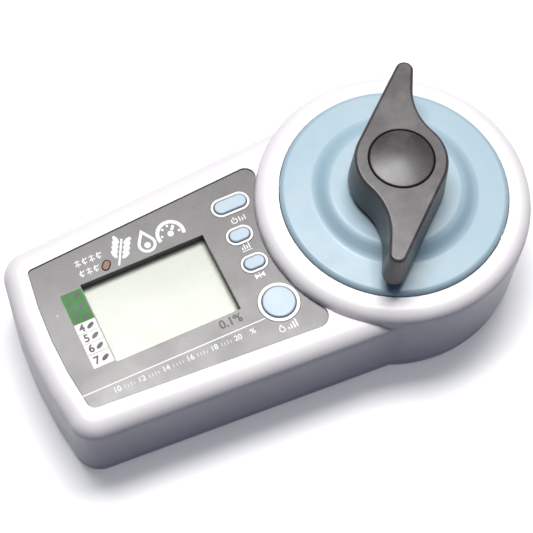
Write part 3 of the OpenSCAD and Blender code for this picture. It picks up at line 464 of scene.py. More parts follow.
# %% Outline, block, turned part
def trace(bm, arcs, z=0.0, step=5):
    """A closed outline as a face. Each entry is a corner (x, y) or an arc
    (x, y, radius, from, to) in degrees; straight edges join one to the next."""
    last = first = None
    edges_before = set(bm.edges)
    for entry in arcs:
        x, y, radius, begin, end = entry if len(entry) == 5 else (*entry, 0, 0, 0)
        from_turn = math.radians(begin)
        start = bm.verts.new((x + radius * math.cos(from_turn), y + radius * math.sin(from_turn), z))
        if last is None:
            first = start
        else:
            bm.edges.new((last, start))
        last = start
        if radius and end != begin:
            spun = bmesh.ops.spin(
                bm, geom=[start], cent=(x, y, z), axis=(0, 0, 1), angle=math.radians(end - begin),
                steps=max(2, round(abs(end - begin) / step)), use_duplicate=False)
            last = next(g for g in spun["geom_last"] if isinstance(g, bmesh.types.BMVert))
    bm.edges.new((last, first))
    new_edges = [e for e in bm.edges if e not in edges_before]
    ends = list({v for e in new_edges for v in e.verts})
    bmesh.ops.remove_doubles(bm, verts=ends, dist=0.002)
    new_edges = [e for e in bm.edges if e not in edges_before]
    face = bmesh.ops.contextual_create(bm, geom=new_edges)["faces"][0]
    face.normal_update()
    if face.normal.z < 0:
        face.normal_flip()
    return face


def only_verts(geometry):
    """The vertices in what an operator gave back."""
    return [g for g in geometry if isinstance(g, bmesh.types.BMVert)]


def raise_block(bm, face, top):
    """Pull a flat face up to a height; the new top face comes back."""
    bottom = face.verts[0].co.z
    made = bmesh.ops.extrude_face_region(bm, geom=[face])["geom"]
    bmesh.ops.translate(bm, verts=only_verts(made), vec=(0, 0, top - bottom))
    face.normal_flip()
    return next(g for g in made if isinstance(g, bmesh.types.BMFace))


def round_edges(bm, edges, width, segments=4):
    """Round some edges over."""
    bmesh.ops.bevel(
        bm, geom=list(edges), offset=width, offset_type="OFFSET", segments=segments, profile=0.5,
        affect="EDGES", clamp_overlap=False, material=-1)


def shape_of(arcs, bottom, top, top_round=0.0, segments=8, bottom_round=0.0, bottom_segments=1):
    """A straight block on an outline, with its top and bottom edges rounded."""
    bm = bmesh.new()
    base = trace(bm, arcs, bottom)
    lid = raise_block(bm, base, top)
    bmesh.ops.recalc_face_normals(bm, faces=bm.faces)
    if top_round:
        round_edges(bm, lid.edges, top_round, segments)
    if bottom_round:
        low = [e for e in bm.edges if all(abs(v.co.z - bottom) < 0.001 for v in e.verts)]
        round_edges(bm, low, bottom_round, bottom_segments)
    bmesh.ops.recalc_face_normals(bm, faces=bm.faces)
    return bm


def disc(x, y, radius):
    """The outline of a round block."""
    return [(x, y, radius, 0, 358)]


def pill(x, y, length, width, turn=0):
    """The outline of a long button with half-round ends."""
    reach, radius = (length - width) / 2, width / 2
    dx, dy = reach * math.cos(math.radians(turn)), reach * math.sin(math.radians(turn))
    return [
        (x + dx, y + dy, radius, turn - 90, turn + 90),
        (x - dx, y - dy, radius, turn + 90, turn + 270)]


def oblong(x0, x1, y0, y1):
    """The outline of a rectangle."""
    return [(x1, y0), (x1, y1), (x0, y1), (x0, y0)]


def turned(profile, x, rounds=(), steps=144):
    """A closed profile of (radius, height) points spun about the upright axis at x.
    rounds lists corners to soften first: (radius, height, distance from the corner)."""
    bm = bmesh.new()
    face = trace(bm, profile, step=3)
    for radius, height, offset in rounds:
        corner = min(bm.verts, key=lambda v: (v.co - Vector((radius, height, 0))).length)
        bmesh.ops.bevel(
            bm, geom=[corner], offset=offset, offset_type="OFFSET", segments=6, profile=0.5,
            affect="VERTICES", clamp_overlap=False, material=-1)
    bmesh.ops.delete(bm, geom=bm.faces[:], context="FACES_ONLY")
    bmesh.ops.rotate(bm, verts=bm.verts, cent=(0, 0, 0), matrix=Matrix.Rotation(math.radians(90), 3, "X"))
    bmesh.ops.spin(
        bm, geom=bm.edges[:], cent=(0, 0, 0), axis=(0, 0, 1), angle=math.radians(360),
        steps=steps, use_merge=True)
    bmesh.ops.remove_doubles(bm, verts=bm.verts, dist=0.002)
    bmesh.ops.recalc_face_normals(bm, faces=bm.faces)
    bmesh.ops.translate(bm, verts=bm.verts, vec=(x, 0, 0))
    return bm


# %% From mesh code to finished piece
def stand_in(name, bm):
    """A working object in millimetres, for joining and cutting."""
    mesh = bpy.data.meshes.new(name)
    bm.to_mesh(mesh)
    bm.free()
    made = bpy.data.objects.new(name, mesh)
    bpy.context.scene.collection.objects.link(made)
    return made


def settled_mesh(body):
    """A new mesh of an object as its modifiers leave it."""
    return bpy.data.meshes.new_from_object(body.evaluated_get(bpy.context.evaluated_depsgraph_get()))


def combine(body, operation, *tools):
    """Join tools to a working object, or cut them out of it, and remove the tools."""
    for tool in tools:
        step = body.modifiers.new(operation, "BOOLEAN")
        step.operation = operation
        step.solver = "EXACT"
        step.object = tool
        result = settled_mesh(body)
        body.modifiers.clear()
        body.data = result
        bpy.data.objects.remove(tool)
    return body


def piece(name, body, slot, ride_on, stands_for=(), soften=0.0, angle=40, material=None):
    """Turn a working object into a finished piece in metres, with its finish and its body."""
    mesh = body.data
    bm = bmesh.new()
    bm.from_mesh(mesh)
    bmesh.ops.remove_doubles(bm, verts=bm.verts, dist=0.001)
    bmesh.ops.dissolve_degenerate(bm, edges=bm.edges, dist=0.0005)
    bmesh.ops.scale(bm, verts=bm.verts, vec=(MM, MM, MM))
    for face in bm.faces:
        face.smooth = True
    for edge in bm.edges:
        edge.smooth = not (edge.is_manifold and edge.calc_face_angle(0) > math.radians(angle))
    mesh = bpy.data.meshes.new(name)
    bm.to_mesh(mesh)
    bm.free()
    bpy.data.objects.remove(body)
    made = bpy.data.objects.new(name, mesh)
    bpy.context.scene.collection.objects.link(made)
    made.data.materials.append(material or FINISHES[slot])
    if soften:
        rounded = made.modifiers.new("softened edges", "BEVEL")
        rounded.width = soften * MM
        rounded.segments = 2
        rounded.limit_method = "ANGLE"
        rounded.angle_limit = math.radians(angle)
    even = made.modifiers.new("even shading", "WEIGHTED_NORMAL")
    even.keep_sharp = True
    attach(made, ride_on)
    if stands_for:
        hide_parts(*stands_for)
    print(name, len(mesh.vertices), "vertices, rides on", ride_on)
    return made


# %% [markdown]
# ## The casing
# The casing is two injection-moulded halves: a tapering handle part with a gently bowed
# tail, and the round head that stands a little higher. Both halves come from the same
# plan, so one function draws it at any inset: at nothing for the outside, and at the
# wall's thickness for the hollow.

# %% Plan of the casing
TAIL_W, SHOULDER_W = 70.8, 88.8
BOW_R, CORNER_R = 155.0, 9.5
BODY_TOP = 37.1
WALL = 2.4
BODY_ROUND, HEAD_ROUND = 6, 4.5
TAPER = (SHOULDER_W - TAIL_W) / 2 / (HEAD_X - TAIL_X)
LEAN = math.degrees(math.atan(TAPER))


def corner_centre(circle_x, reach, side_y):
    """Centre of a corner rounding: reach from a circle's centre on the middle line, and
    on the tapering line that passes through side_y at the head's axis. Tail-side answer."""
    shift = circle_x - HEAD_X
    m = side_y + TAPER * shift
    a, b, c = 1 + TAPER ** 2, m * TAPER, m * m - reach * reach
    dx = (-b - math.sqrt(b * b - a * c)) / a
    return circle_x + dx, m + TAPER * dx


def handle_plan(inset):
    """Outline of the handle part, from the bowed tail to the head's axis."""
    radius = CORNER_R - inset
    side = SHOULDER_W / 2 - inset
    bow_x = TAIL_X + BOW_R
    x, y = corner_centre(bow_x, BOW_R - CORNER_R, side - radius / math.cos(math.radians(LEAN)))
    bend = math.degrees(math.atan2(y, x - bow_x))
    return [
        (HEAD_X, side),
        (x, y, radius, 90 + LEAN, bend),
        (bow_x, 0, BOW_R - inset, bend, 360 - bend),
        (x, -y, radius, 360 - bend, 270 - LEAN),
        (HEAD_X, -side),
    ]


def casing_block(name, inset, bottom, body_top, head_top, body_round, head_round, low=0.0):
    """Handle part and head together as one working object."""
    body = stand_in(name, shape_of(handle_plan(inset), bottom, body_top, body_round, 8, low))
    head = stand_in("head", shape_of(disc(HEAD_X, 0, HEAD_R - inset), bottom, head_top, head_round, 8, low))
    return combine(body, "UNION", head)


# %% [markdown]
# The upper half is the outer block less its hollow, with the well for the lid's lock
# ring built in, and then the bed for the overlay, the display opening and the button
# holes cut through. Cutting is done on whole solids, as a moulder's steel would do it,
# which leaves exact edges for the last small softening.

# %% Heights and openings of the upper half
panel_low, panel_high = box_mm("overlay_panel")
ring_low, ring_high = box_mm("lock_ring")
cell_low, cell_high = box_mm("display_cell")
lens_low, lens_high = box_mm("indicator_lens")
BED_Z, PANEL_Z = panel_low.z, panel_high.z
ROOF_Z = BED_Z - WALL
SEAT_R = (ring_high.x - ring_low.x) / 2 + 0.1
SHELF_R = SEAT_R - 4.85
HOLE_GAP, LAND_W, ROUND_LAND_W = 0.3, 0.9, 1.25
FLANGE = 1.0
POCKET = 0.7
OPENING = (-67.5, -19.8, -16.65, 16.65)
OPENING_LOW, HOLE_LOW = 32, 31
WINDOW = (cell_low.x + POCKET, cell_high.x - POCKET, cell_low.y + POCKET, cell_high.y - POCKET)
LENS = ((lens_low.x + lens_high.x) / 2, (lens_low.y + lens_high.y) / 2, 3.8, 2.5, 50)
BUTTONS = {}
for button in ("power", "average", "select", "measure"):
    low, high = box_mm("button_" + button)
    BUTTONS[button] = (
        (low.x + high.x) / 2, (low.y + high.y) / 2,
        high.x - low.x - 2 * FLANGE, high.y - low.y - 2 * FLANGE)
print("buttons", {name: [round(v, 2) for v in sizes] for name, sizes in BUTTONS.items()})


def land_width(name):
    """How wide the white land round a button is."""
    return ROUND_LAND_W if name == "measure" else LAND_W


def button_plan(name, grow):
    """Outline of a button, or of the hole or land round it."""
    x, y, length, width = BUTTONS[name]
    if abs(length - width) < 0.01:
        return disc(x, y, length / 2 + grow)
    return pill(x, y, length + 2 * grow, width + 2 * grow)


def panel_plan(grow):
    """Outline of the overlay: sides that taper, a bowed end and an end that follows the head."""
    side = SHOULDER_W / 2 - 9.3 + grow
    end_x = TAIL_X + 8.6
    bow_x, bow_r = end_x + BOW_R, BOW_R + grow
    hollow_r = HEAD_R + 0.15 - grow
    lean = math.cos(math.radians(LEAN))
    arcs = []
    for tail_r, head_r in ((1.6, 3.6), (2.8, 4.2)):
        tail_r, head_r = tail_r + grow, head_r + grow
        tx, ty = corner_centre(bow_x, bow_r - tail_r, side - tail_r / lean)
        hx, hy = corner_centre(HEAD_X, hollow_r + head_r, side - head_r / lean)
        bend = math.degrees(math.atan2(ty, tx - bow_x))
        meet = math.degrees(math.atan2(hy, hx - HEAD_X))
        arcs.append((tx, ty, tail_r, hx, hy, head_r, bend, meet))
    (tx, ty, tr, hx, hy, hr, bend, meet), (lx, ly, lr, gx, gy, gr, low_bend, low_meet) = arcs
    return [
        (hx, hy, hr, meet - 180, 90 + LEAN),
        (tx, ty, tr, 90 + LEAN, bend),
        (bow_x, 0, bow_r, bend, 360 - low_bend),
        (lx, -ly, lr, 360 - low_bend, 270 - LEAN),
        (gx, -gy, gr, 270 - LEAN, 540 - low_meet),
        (HEAD_X, 0, hollow_r, 360 - low_meet, meet),
    ]


# %% Upper half of the casing
outer = casing_block("outer", 0, SEAM_Z, BODY_TOP, HEAD_TOP, BODY_ROUND, HEAD_ROUND)
hollow = casing_block(
    "hollow", WALL, SEAM_Z - 1, ROOF_Z, HEAD_TOP - WALL, BODY_ROUND - WALL, HEAD_ROUND - WALL)
casing = combine(outer, "DIFFERENCE", hollow)
well = stand_in("well", shape_of(disc(HEAD_X, 0, SEAT_R + 2), ring_low.z - 2, HEAD_TOP - 0.5))
bore = stand_in("bore", shape_of(disc(HEAD_X, 0, SHELF_R), ring_low.z - 2 - 1, HEAD_TOP + 1))
seat = stand_in("seat", shape_of(disc(HEAD_X, 0, SEAT_R), ring_low.z, HEAD_TOP + 1))
combine(casing, "UNION", well)
combine(casing, "DIFFERENCE", bore, seat)
combine(casing, "DIFFERENCE", stand_in("bed", shape_of(panel_plan(0.2), BED_Z, BODY_TOP + 0.02)))
combine(casing, "DIFFERENCE", stand_in("opening", shape_of(oblong(*OPENING), OPENING_LOW, BODY_TOP)))
for button in BUTTONS:
    hole = shape_of(button_plan(button, HOLE_GAP), HOLE_LOW, BODY_TOP + 1)
    combine(casing, "DIFFERENCE", stand_in("hole", hole))
piece("casing_top", casing, "case_white", "case", ["upper_case"], soften=0.22)

# %% White lands round the buttons
lands = bmesh.new()
for button in BUTTONS:
    width = land_width(button)
    rim = trace(lands, button_plan(button, HOLE_GAP + width), BED_Z - 0.3)
    bmesh.ops.inset_region(lands, faces=[rim], thickness=width, use_boundary=True, use_even_offset=True)
    bmesh.ops.delete(lands, geom=[rim], context="FACES")
rims = lands.faces[:]
raised = bmesh.ops.extrude_face_region(lands, geom=rims)["geom"]
land_rise = PANEL_Z + 0.2 - BED_Z + 0.3
bmesh.ops.translate(lands, verts=only_verts(raised), vec=(0, 0, land_rise))
bmesh.ops.recalc_face_normals(lands, faces=lands.faces)
piece("button_lands", stand_in("lands", lands), "case_white", "case", soften=0.15)

# %% [markdown]
# ## The lower half
# The lower half is the same plan drawn half a millimetre in, so the seam shows as a
# fine step all round. Its underside carries the battery door's opening and six deep
# screw holes.

# %% Lower half of the casing
FOOT_Z, FLOOR_Z = 0.8, 3.8
INSET = 0.5
shell = casing_block("shell", INSET, FOOT_Z, SEAM_Z, SEAM_Z, 0, 0, low=1.2)
inside = casing_block("inside", WALL + 1.15, FLOOR_Z, SEAM_Z + 1, SEAM_Z + 1, 0, 0)
combine(shell, "DIFFERENCE", inside)
door_low, door_high = box_mm("battery_door")
pin_low, pin_high = box_mm("door_pin")
pin_x = (pin_low.x + pin_high.x) / 2
way = oblong(door_low.x - 0.4, pin_x + 2.5, door_low.y - 0.4, door_high.y + 0.4)
notched = oblong(door_low.x + 1.2, pin_x + 2.1, door_low.y - 0.4, door_high.y + 0.4)
combine(
    shell, "DIFFERENCE",
    stand_in("way", shape_of(way, FOOT_Z - 1, FOOT_Z + 2.4)),
    stand_in("notched", shape_of(notched, FOOT_Z, FLOOR_Z + 1)),
    stand_in("finger", shape_of(disc(door_low.x - 2, 0, 8), FOOT_Z - 1, FOOT_Z + 1.2)))
SINK_R, SINK_DEPTH = 2.9, 2.2
HEAD_SCREW_R, HEAD_SCREW_TURN = 42.2, math.radians(48)
head_screw = (
    HEAD_X + HEAD_SCREW_R * math.cos(HEAD_SCREW_TURN), HEAD_SCREW_R * math.sin(HEAD_SCREW_TURN))
for x, y in ((-83.15, 27.4), (-10.05, 34.6), head_screw):
    for side in (1, -1):
        sink = shape_of(disc(x, side * y, SINK_R), FOOT_Z - 1, FOOT_Z + SINK_DEPTH)
        combine(shell, "DIFFERENCE", stand_in("sink", sink))
piece("casing_base", shell, "base_white", "case", ["lower_case"], soften=0.18)

# %% [markdown]
# ## The overlay
# A grey film with a fine matt grain is glued into a shallow bed. It carries all the
# printing, has a window for the display and openings for the button lands. Its thin
# edge catches the light, so it is a real sheet with a thickness and not a painted area.

# %% Overlay film
CUT_LOW, CUT_HIGH = 30, 40
LAND_GAP, LENS_GAP = 0.05, 0.2
lens_x, lens_y, lens_l, lens_w, lens_turn = LENS
film_cuts = [oblong(*WINDOW)]
film_cuts += [button_plan(button, HOLE_GAP + land_width(button) + LAND_GAP) for button in BUTTONS]
film_cuts.append(pill(lens_x, lens_y, lens_l + LENS_GAP, lens_w + LENS_GAP, lens_turn))
film = stand_in("film", shape_of(panel_plan(0), BED_Z, PANEL_Z))
for plan in film_cuts:
    combine(film, "DIFFERENCE", stand_in("cut", shape_of(plan, CUT_LOW, CUT_HIGH)))
piece("overlay", film, "overlay_grey", "case", ["overlay_panel"], soften=0.1)

# %% [markdown]
# ## Printing on the overlay
# Screen printing lies on the film as a very thin coat of ink. Marks made of thin solid
# shapes keep crisp edges at any distance, and they are all generic: an ear of grain, a
# drop and a dial instead of a name, symbols beside the buttons, numbered rows instead
# of a list of grains, and a scale of plain numbers along the foot.

# %% Marks
INK = 0.03
INK_Z = PANEL_Z + 0.005
STAGGER = 0.004


def mark_level(bm):
    """Marks that cross lie at slightly different heights, so that no two faces coincide."""
    return STAGGER * (len(bm.faces) % 8)


def put_mark(bm, face_geom, x, y, turn=0.0):
    """Turn a flat shape about the origin and carry it to its place."""
    verts = list({v for face in face_geom for v in face.verts})
    bmesh.ops.rotate(bm, verts=verts, cent=(0, 0, 0), matrix=Matrix.Rotation(math.radians(turn), 3, "Z"))
    bmesh.ops.translate(bm, verts=verts, vec=(x, y, mark_level(bm)))


def bar(bm, x0, y0, x1, y1, width):
    """A straight stroke between two points."""
    made = bmesh.ops.create_grid(bm, x_segments=1, y_segments=1, size=0.5)["verts"]
    length = math.hypot(x1 - x0, y1 - y0)
    bmesh.ops.scale(bm, verts=made, vec=(length, width, 1))
    turn = math.degrees(math.atan2(y1 - y0, x1 - x0))
    put_mark(bm, made[0].link_faces, (x0 + x1) / 2, (y0 + y1) / 2, turn)


def seed(bm, x, y, length, width, turn=0.0):
    """An oval mark."""
    made = bmesh.ops.create_circle(bm, cap_ends=True, segments=20, radius=0.5)["verts"]
    bmesh.ops.scale(bm, verts=made, vec=(length, width, 1))
    put_mark(bm, made[0].link_faces, x, y, turn)


def bow_stroke(bm, x, y, radius, width, begin, end):
    """A stroke bent round a centre."""
    level = mark_level(bm)
    inner, outer = (bm.verts.new((radius + side * width / 2, 0, level)) for side in (-1, 1))
    edge = bm.edges.new((inner, outer))
    to_start = Matrix.Rotation(math.radians(begin), 3, "Z")
    bmesh.ops.rotate(bm, verts=[inner, outer], cent=(0, 0, 0), matrix=to_start)
    bmesh.ops.translate(bm, verts=[inner, outer], vec=(x, y, 0))
    bmesh.ops.spin(
        bm, geom=[edge], cent=(x, y, 0), axis=(0, 0, 1), angle=math.radians(end - begin),
        steps=max(3, round(abs(end - begin) / 12)))


def drop_mark(bm, x, y, radius, reach, wall=0.0):
    """A water drop, point up, solid or as an outline."""
    side = math.degrees(math.acos(radius / reach))
    face = trace(bm, [(x, y, radius, 90 + side, 450 - side), (x, y + reach)], mark_level(bm), step=12)
    if wall:
        bmesh.ops.inset_region(bm, faces=[face], thickness=wall, use_boundary=True, use_even_offset=True)
        bmesh.ops.delete(bm, geom=[face], context="FACES")


def ear_mark(bm, x, y, size):
    """A leaning ear of grain."""
    lean = 62
    dx, dy = math.cos(math.radians(lean)), math.sin(math.radians(lean))
    bar(
        bm, x - 0.52 * size * dx, y - 0.52 * size * dy,
        x + 0.46 * size * dx, y + 0.46 * size * dy, 0.07 * size)
    for k in range(4):
        along = (-0.12 + 0.175 * k) * size
        for side in (-1, 1):
            aside = side * 0.19 * size
            px, py = x + along * dx - aside * dy, y + along * dy + aside * dx
            seed(bm, px, py, 0.33 * size, 0.15 * size, lean + side * 38)


def dial_mark(bm, x, y, size):
    """A dial with a needle."""
    hub_y = y - 0.12 * size

    def ray(turn, start, end, width):
        dx, dy = size * math.cos(math.radians(turn)), size * math.sin(math.radians(turn))
        bar(bm, x + start * dx, hub_y + start * dy, x + end * dx, hub_y + end * dy, width * size)

    bow_stroke(bm, x, hub_y, 0.45 * size, 0.13 * size, -20, 200)
    for turn in (0, 90, 130, 180):
        ray(turn, 0.27, 0.35, 0.08)
    ray(52, 0.13, 0.33, 0.1)
    seed(bm, x, hub_y, 0.22 * size, 0.22 * size)


def number_mark(bm, text, x, y, height, weight=0.02):
    """A plain number, drawn with Blender's own font and centred on a point."""
    curve = bpy.data.curves.new("number", "FONT")
    curve.body = text
    curve.align_x, curve.align_y = "CENTER", "CENTER"
    curve.size = height * 1.42
    curve.offset = weight * height
    holder = bpy.data.objects.new("number", curve)
    bpy.context.scene.collection.objects.link(holder)
    flat = settled_mesh(holder)
    bpy.data.objects.remove(holder)
    known = set(bm.verts)
    bm.from_mesh(flat)
    bmesh.ops.translate(bm, verts=[v for v in bm.verts if v not in known], vec=(x, y, 0))


def lay_ink(name, bm, finish_name, slot, level=INK_Z, thickness=INK):
    """Give flat marks the thickness of their ink and make a piece of them."""
    bm.normal_update()
    bmesh.ops.reverse_faces(bm, faces=[face for face in bm.faces if face.normal.z < 0])
    bmesh.ops.translate(bm, verts=bm.verts, vec=(0, 0, level))
    under = bm.faces[:]
    made = bmesh.ops.extrude_face_region(bm, geom=under)["geom"]
    bmesh.ops.translate(bm, verts=only_verts(made), vec=(0, 0, thickness))
    bmesh.ops.reverse_faces(bm, faces=[f for f in under if f.is_valid])
    bmesh.ops.recalc_face_normals(bm, faces=bm.faces)
    return piece(name, stand_in(name, bm), slot, "case", material=FINISHES[finish_name])


# %% White marks
FOOT_LINE = (-80.9, -15.6, -21.6)
SCALE_X, SCALE_Y, SCALE_STEP, SCALE_H = -69.6, -24.05, 8.6, 1.9
TICK_FIRST, TICK_STEP = 2.65, 1.1
white = bmesh.new()
ear_mark(white, -48.9, 21.0, 10.2)
drop_mark(white, -39.7, 19.7, 3.2, 5.9, 1.0)
seed(white, -39.7, 19.3, 2.2, 2.2)
dial_mark(white, -30.9, 21.2, 10.0)
for line, count in ((22.6, 4), (18.55, 3)):
    for k in range(count):
        x = -63.75 + 2.55 * k
        if (k + count) % 2:
            bow_stroke(white, x, line, 0.75, 0.32, 30, 330)
            bar(white, x - 0.2, line - 1.3, x - 0.2, line + 1.35, 0.3)
            seed(white, x + 0.75, line + 0.75, 0.9, 0.4, 40)
        else:
            bar(white, x - 0.95, line + 0.75, x + 0.95, line + 0.75, 0.3)
            bar(white, x, line - 1.35, x, line + 1.35, 0.3)
            seed(white, x - 0.6, line - 0.45, 1.1, 0.42, 50)
            seed(white, x + 0.6, line - 0.45, 1.1, 0.42, -50)
line_x0, line_x1, line_y = FOOT_LINE
bar(white, line_x0, line_y, line_x1, line_y, 0.42)
for k in range(6):
    number_x = SCALE_X + SCALE_STEP * k
    number_mark(white, str(10 + 2 * k), number_x, SCALE_Y, SCALE_H)
    if k < 5:
        for tick in range(4):
            x = number_x + TICK_FIRST + TICK_STEP * tick
            bar(white, x, SCALE_Y - 0.7, x, SCALE_Y + (0.3 if tick % 2 else 0.65), 0.2)
number_mark(white, "%", -21.2, SCALE_Y, SCALE_H)
bow_stroke(white, -9.3, 15.35, 0.95, 0.36, 125, 415)
bar(white, -9.3, 15.5, -9.3, 16.75, 0.36)
for shift, tall in ((0, 2.0), (0.95, 1.3), (1.9, 2.0)):
    bar(white, -7.4 + shift, 14.4, -7.4 + shift, 14.4 + tall, 0.38)
for shift, tall in ((0, 1.1), (0.85, 2.0), (1.7, 1.4), (2.55, 2.2)):
    bar(white, -11.3 + shift, 3.9, -11.3 + shift, 3.9 + tall, 0.42)
bar(white, -11.8, 3.4, -8.2, 3.4, 0.3)
for x, turn in ((-11.4, 180), (-9.1, 0)):
    made = bmesh.ops.create_circle(white, cap_ends=True, segments=3, radius=1.15)["verts"]
    put_mark(white, made[0].link_faces, x, -6.7, turn + 90)
bar(white, -10.25, -7.7, -10.25, -5.6, 0.34)
drop_mark(white, -12.2, -27.6, 1.05, 2.0, 0.36)
for shift, tall in ((0, 0.9), (1.0, 1.6), (2.0, 2.3), (3.0, 3.0)):
    bar(white, -9.9 + shift, -28.6, -9.9 + shift, -28.6 + tall, 0.5)
seed(white, -77.1, 7.9, 0.55, 0.55)
lay_ink("white_marks", white, "print_white", "case_white")

# %% Numbered grain rows and the black mark
ROWS = (14.0, 10.1, 6.2, 2.3, -1.6, -5.5, -9.5, -14.6)
LABEL_X = (-73.65, -66.3)
LABEL_T = 0.08
GREEN_ROWS = 3
ROW_GAP, GREEN_ROW_GAP = 0.14, 0.03
green, pale, black = bmesh.new(), bmesh.new(), bmesh.new()
for k in range(7):
    top, foot = ROWS[k], ROWS[k + 1]
    sheet = green if k < GREEN_ROWS else pale
    gap = GREEN_ROW_GAP if k < GREEN_ROWS - 1 else ROW_GAP
    trace(sheet, oblong(LABEL_X[0], LABEL_X[1], foot + gap, top))
    number_mark(black, str(k + 1), LABEL_X[0] + 2.1, (top + foot) / 2, 2.7, 0.035)
    seed(black, LABEL_X[1] - 2.3, (top + foot) / 2, 2.9, 1.4, 30)
lay_ink("green_rows", green, "label_green", "overlay_grey", INK_Z, LABEL_T)
lay_ink("pale_rows", pale, "label_white", "case_white", INK_Z, LABEL_T)
lay_ink("row_marks", black, "print_black", "bezel_dark", INK_Z + LABEL_T, INK)
scale_mark = bmesh.new()
number_mark(scale_mark, "0.1%", -26.35, -17.8, 3.0, 0.045)
lay_ink("step_mark", scale_mark, "print_black", "bezel_dark")

# %% [markdown]
# ## The display
# The display sits well below the overlay, in a dark frame whose walls throw a shadow on
# it. Over the pale cell lies a clear plate, which is nearly invisible but picks up soft
# reflections.

# %% Frame, cell and clear plate
frame_low, frame_high = box_mm("display_bezel")
rim_plan = oblong(frame_low.x, frame_high.x, frame_low.y, frame_high.y)
FRAME_CUT_LOW = 20
rim_walls = stand_in("rim", shape_of(rim_plan, frame_low.z, frame_high.z))
combine(rim_walls, "DIFFERENCE", stand_in("window", shape_of(oblong(*WINDOW), FRAME_CUT_LOW, CUT_HIGH)))
plate_low, plate_high = box_mm("display_window")
pocket = oblong(plate_low.x - 0.1, plate_high.x + 0.1, plate_low.y - 0.1, plate_high.y + 0.1)
combine(rim_walls, "DIFFERENCE", stand_in("pocket", shape_of(pocket, FRAME_CUT_LOW, plate_high.z)))
piece("display_frame", rim_walls, "bezel_dark", "case", ["display_bezel"], soften=0.15)

cell_plan = oblong(cell_low.x, cell_high.x, cell_low.y, cell_high.y)
cell_block = shape_of(cell_plan, cell_low.z, cell_high.z - 0.05, 0.1, 2)
piece("display_face", stand_in("cell", cell_block), "display_pale", "case", ["display_cell"])
plate_plan = oblong(plate_low.x, plate_high.x, plate_low.y, plate_high.y)
plate_block = shape_of(plate_plan, plate_low.z, plate_high.z, 0.15, 2)
piece("display_plate", stand_in("plate", plate_block), "window_clear", "case", ["display_window"])

# %% [markdown]
# ## The buttons
# Three long keys and a round one stand just proud of their lands. Each is a moulded cap
# with a rounded rim and, under the casing, a flange that stops it falling out.

# %% Buttons
FLANGE_Z, FLANGE_TOP = 32.05, 33.05
for button in BUTTONS:
    low, high = box_mm("button_" + button)
    bm = bmesh.new()
    flange = raise_block(bm, trace(bm, button_plan(button, FLANGE), FLANGE_Z), FLANGE_TOP)
    bmesh.ops.inset_region(bm, faces=[flange], thickness=FLANGE, use_even_offset=True)
    crown = raise_block(bm, flange, high.z)
    round_edges(bm, crown.edges, 0.5, 4)
    bmesh.ops.recalc_face_normals(bm, faces=bm.faces)
    piece(
        "key_" + button, stand_in(button, bm), "button_blue", button + "_key", ["button_" + button],
        angle=50)

# %% Amber indicator lens
lens_body = shape_of(pill(*LENS), BED_Z, lens_high.z, 0.35, 4)
piece("amber_light", stand_in("amber", lens_body), "amber_lens", "case", ["indicator_lens"])

# %% [markdown]
# ## The press lid
# The pale blue lid is one turned shape: a flat rim that lies just above the head, a soft
# slope, and a raised middle that carries the spindle. Under it hangs the skirt with three
# lugs that turn under the lock ring's ledges. A profile spun about the axis gives the
# whole of it, and the lugs are short arcs of a small rectangle.

# %% Press lid
LID_R, SKIRT_R, SKIRT_IN_R = 39.05, 34.8, 32.4
BUSH_R, BOSS_R = 7.0, 11.0
SLOPE_FOOT_R, SLOPE_TOP_R = 27.25, 23.3
UNDER_FOOT_R, UNDER_TOP_R = 26.05, 22.5
RIM_LOW, RIM_TOP = 38.3, 44.0
BOSS_LOW, ROOF_UNDER, RIM_UNDER = 42.3, 44.8, 41.2
LUG_R, LUG_TOP, LUG_ARC = 37.1, 34.2, 24
profile = [
    (BUSH_R, BOSS_LOW), (BOSS_R, BOSS_LOW), (BOSS_R, ROOF_UNDER), (UNDER_TOP_R, ROOF_UNDER),
    (UNDER_FOOT_R, RIM_UNDER), (SKIRT_IN_R, RIM_UNDER), (SKIRT_IN_R, lid_low.z),
    (SKIRT_R, lid_low.z), (SKIRT_R, RIM_LOW), (LID_R, RIM_LOW), (LID_R, RIM_TOP),
    (SLOPE_FOOT_R, RIM_TOP), (SLOPE_TOP_R, lid_high.z), (BUSH_R, lid_high.z),
]
softened = [
    (LID_R, RIM_TOP, 1.8), (SLOPE_FOOT_R, RIM_TOP, 1.6), (SLOPE_TOP_R, lid_high.z, 1.6),
    (LID_R, RIM_LOW, 0.4), (SKIRT_R, lid_low.z, 0.4), (SKIRT_IN_R, lid_low.z, 0.4),
    (BUSH_R, lid_high.z, 0.3),
]
lid = stand_in("lid", turned(profile, HEAD_X, softened))
for place in (90, 210, 330):
    lug = bmesh.new()
    section = trace(lug, oblong(SKIRT_R - 0.5, LUG_R, lid_low.z, LUG_TOP))
    upright_turn = Matrix.Rotation(math.radians(90), 3, "X")
    place_turn = Matrix.Rotation(math.radians(place - LUG_ARC / 2), 3, "Z")
    bmesh.ops.rotate(lug, verts=lug.verts, cent=(0, 0, 0), matrix=upright_turn)
    bmesh.ops.rotate(lug, verts=lug.verts, cent=(0, 0, 0), matrix=place_turn)
    bmesh.ops.spin(
        lug, geom=[section], cent=(0, 0, 0), axis=(0, 0, 1), angle=math.radians(LUG_ARC), steps=10)
    bmesh.ops.recalc_face_normals(lug, faces=lug.faces)
    bmesh.ops.translate(lug, verts=lug.verts, vec=(HEAD_X, 0, 0))
    combine(lid, "UNION", stand_in("lug", lug))
piece("lid_cover", lid, "lid_blue", "lid", ["press_lid"])

# %% [markdown]
# ## The wing handle
# Seen from above, each wing is straight along one side and swept in along the other, and
# the two wings are half a turn apart, so a thumb and a finger always find a hollow. The
# sides lean out a little towards the bottom, as every moulded side does. Two outlines,
# one small and one large, are bridged, and the top edge is rounded.

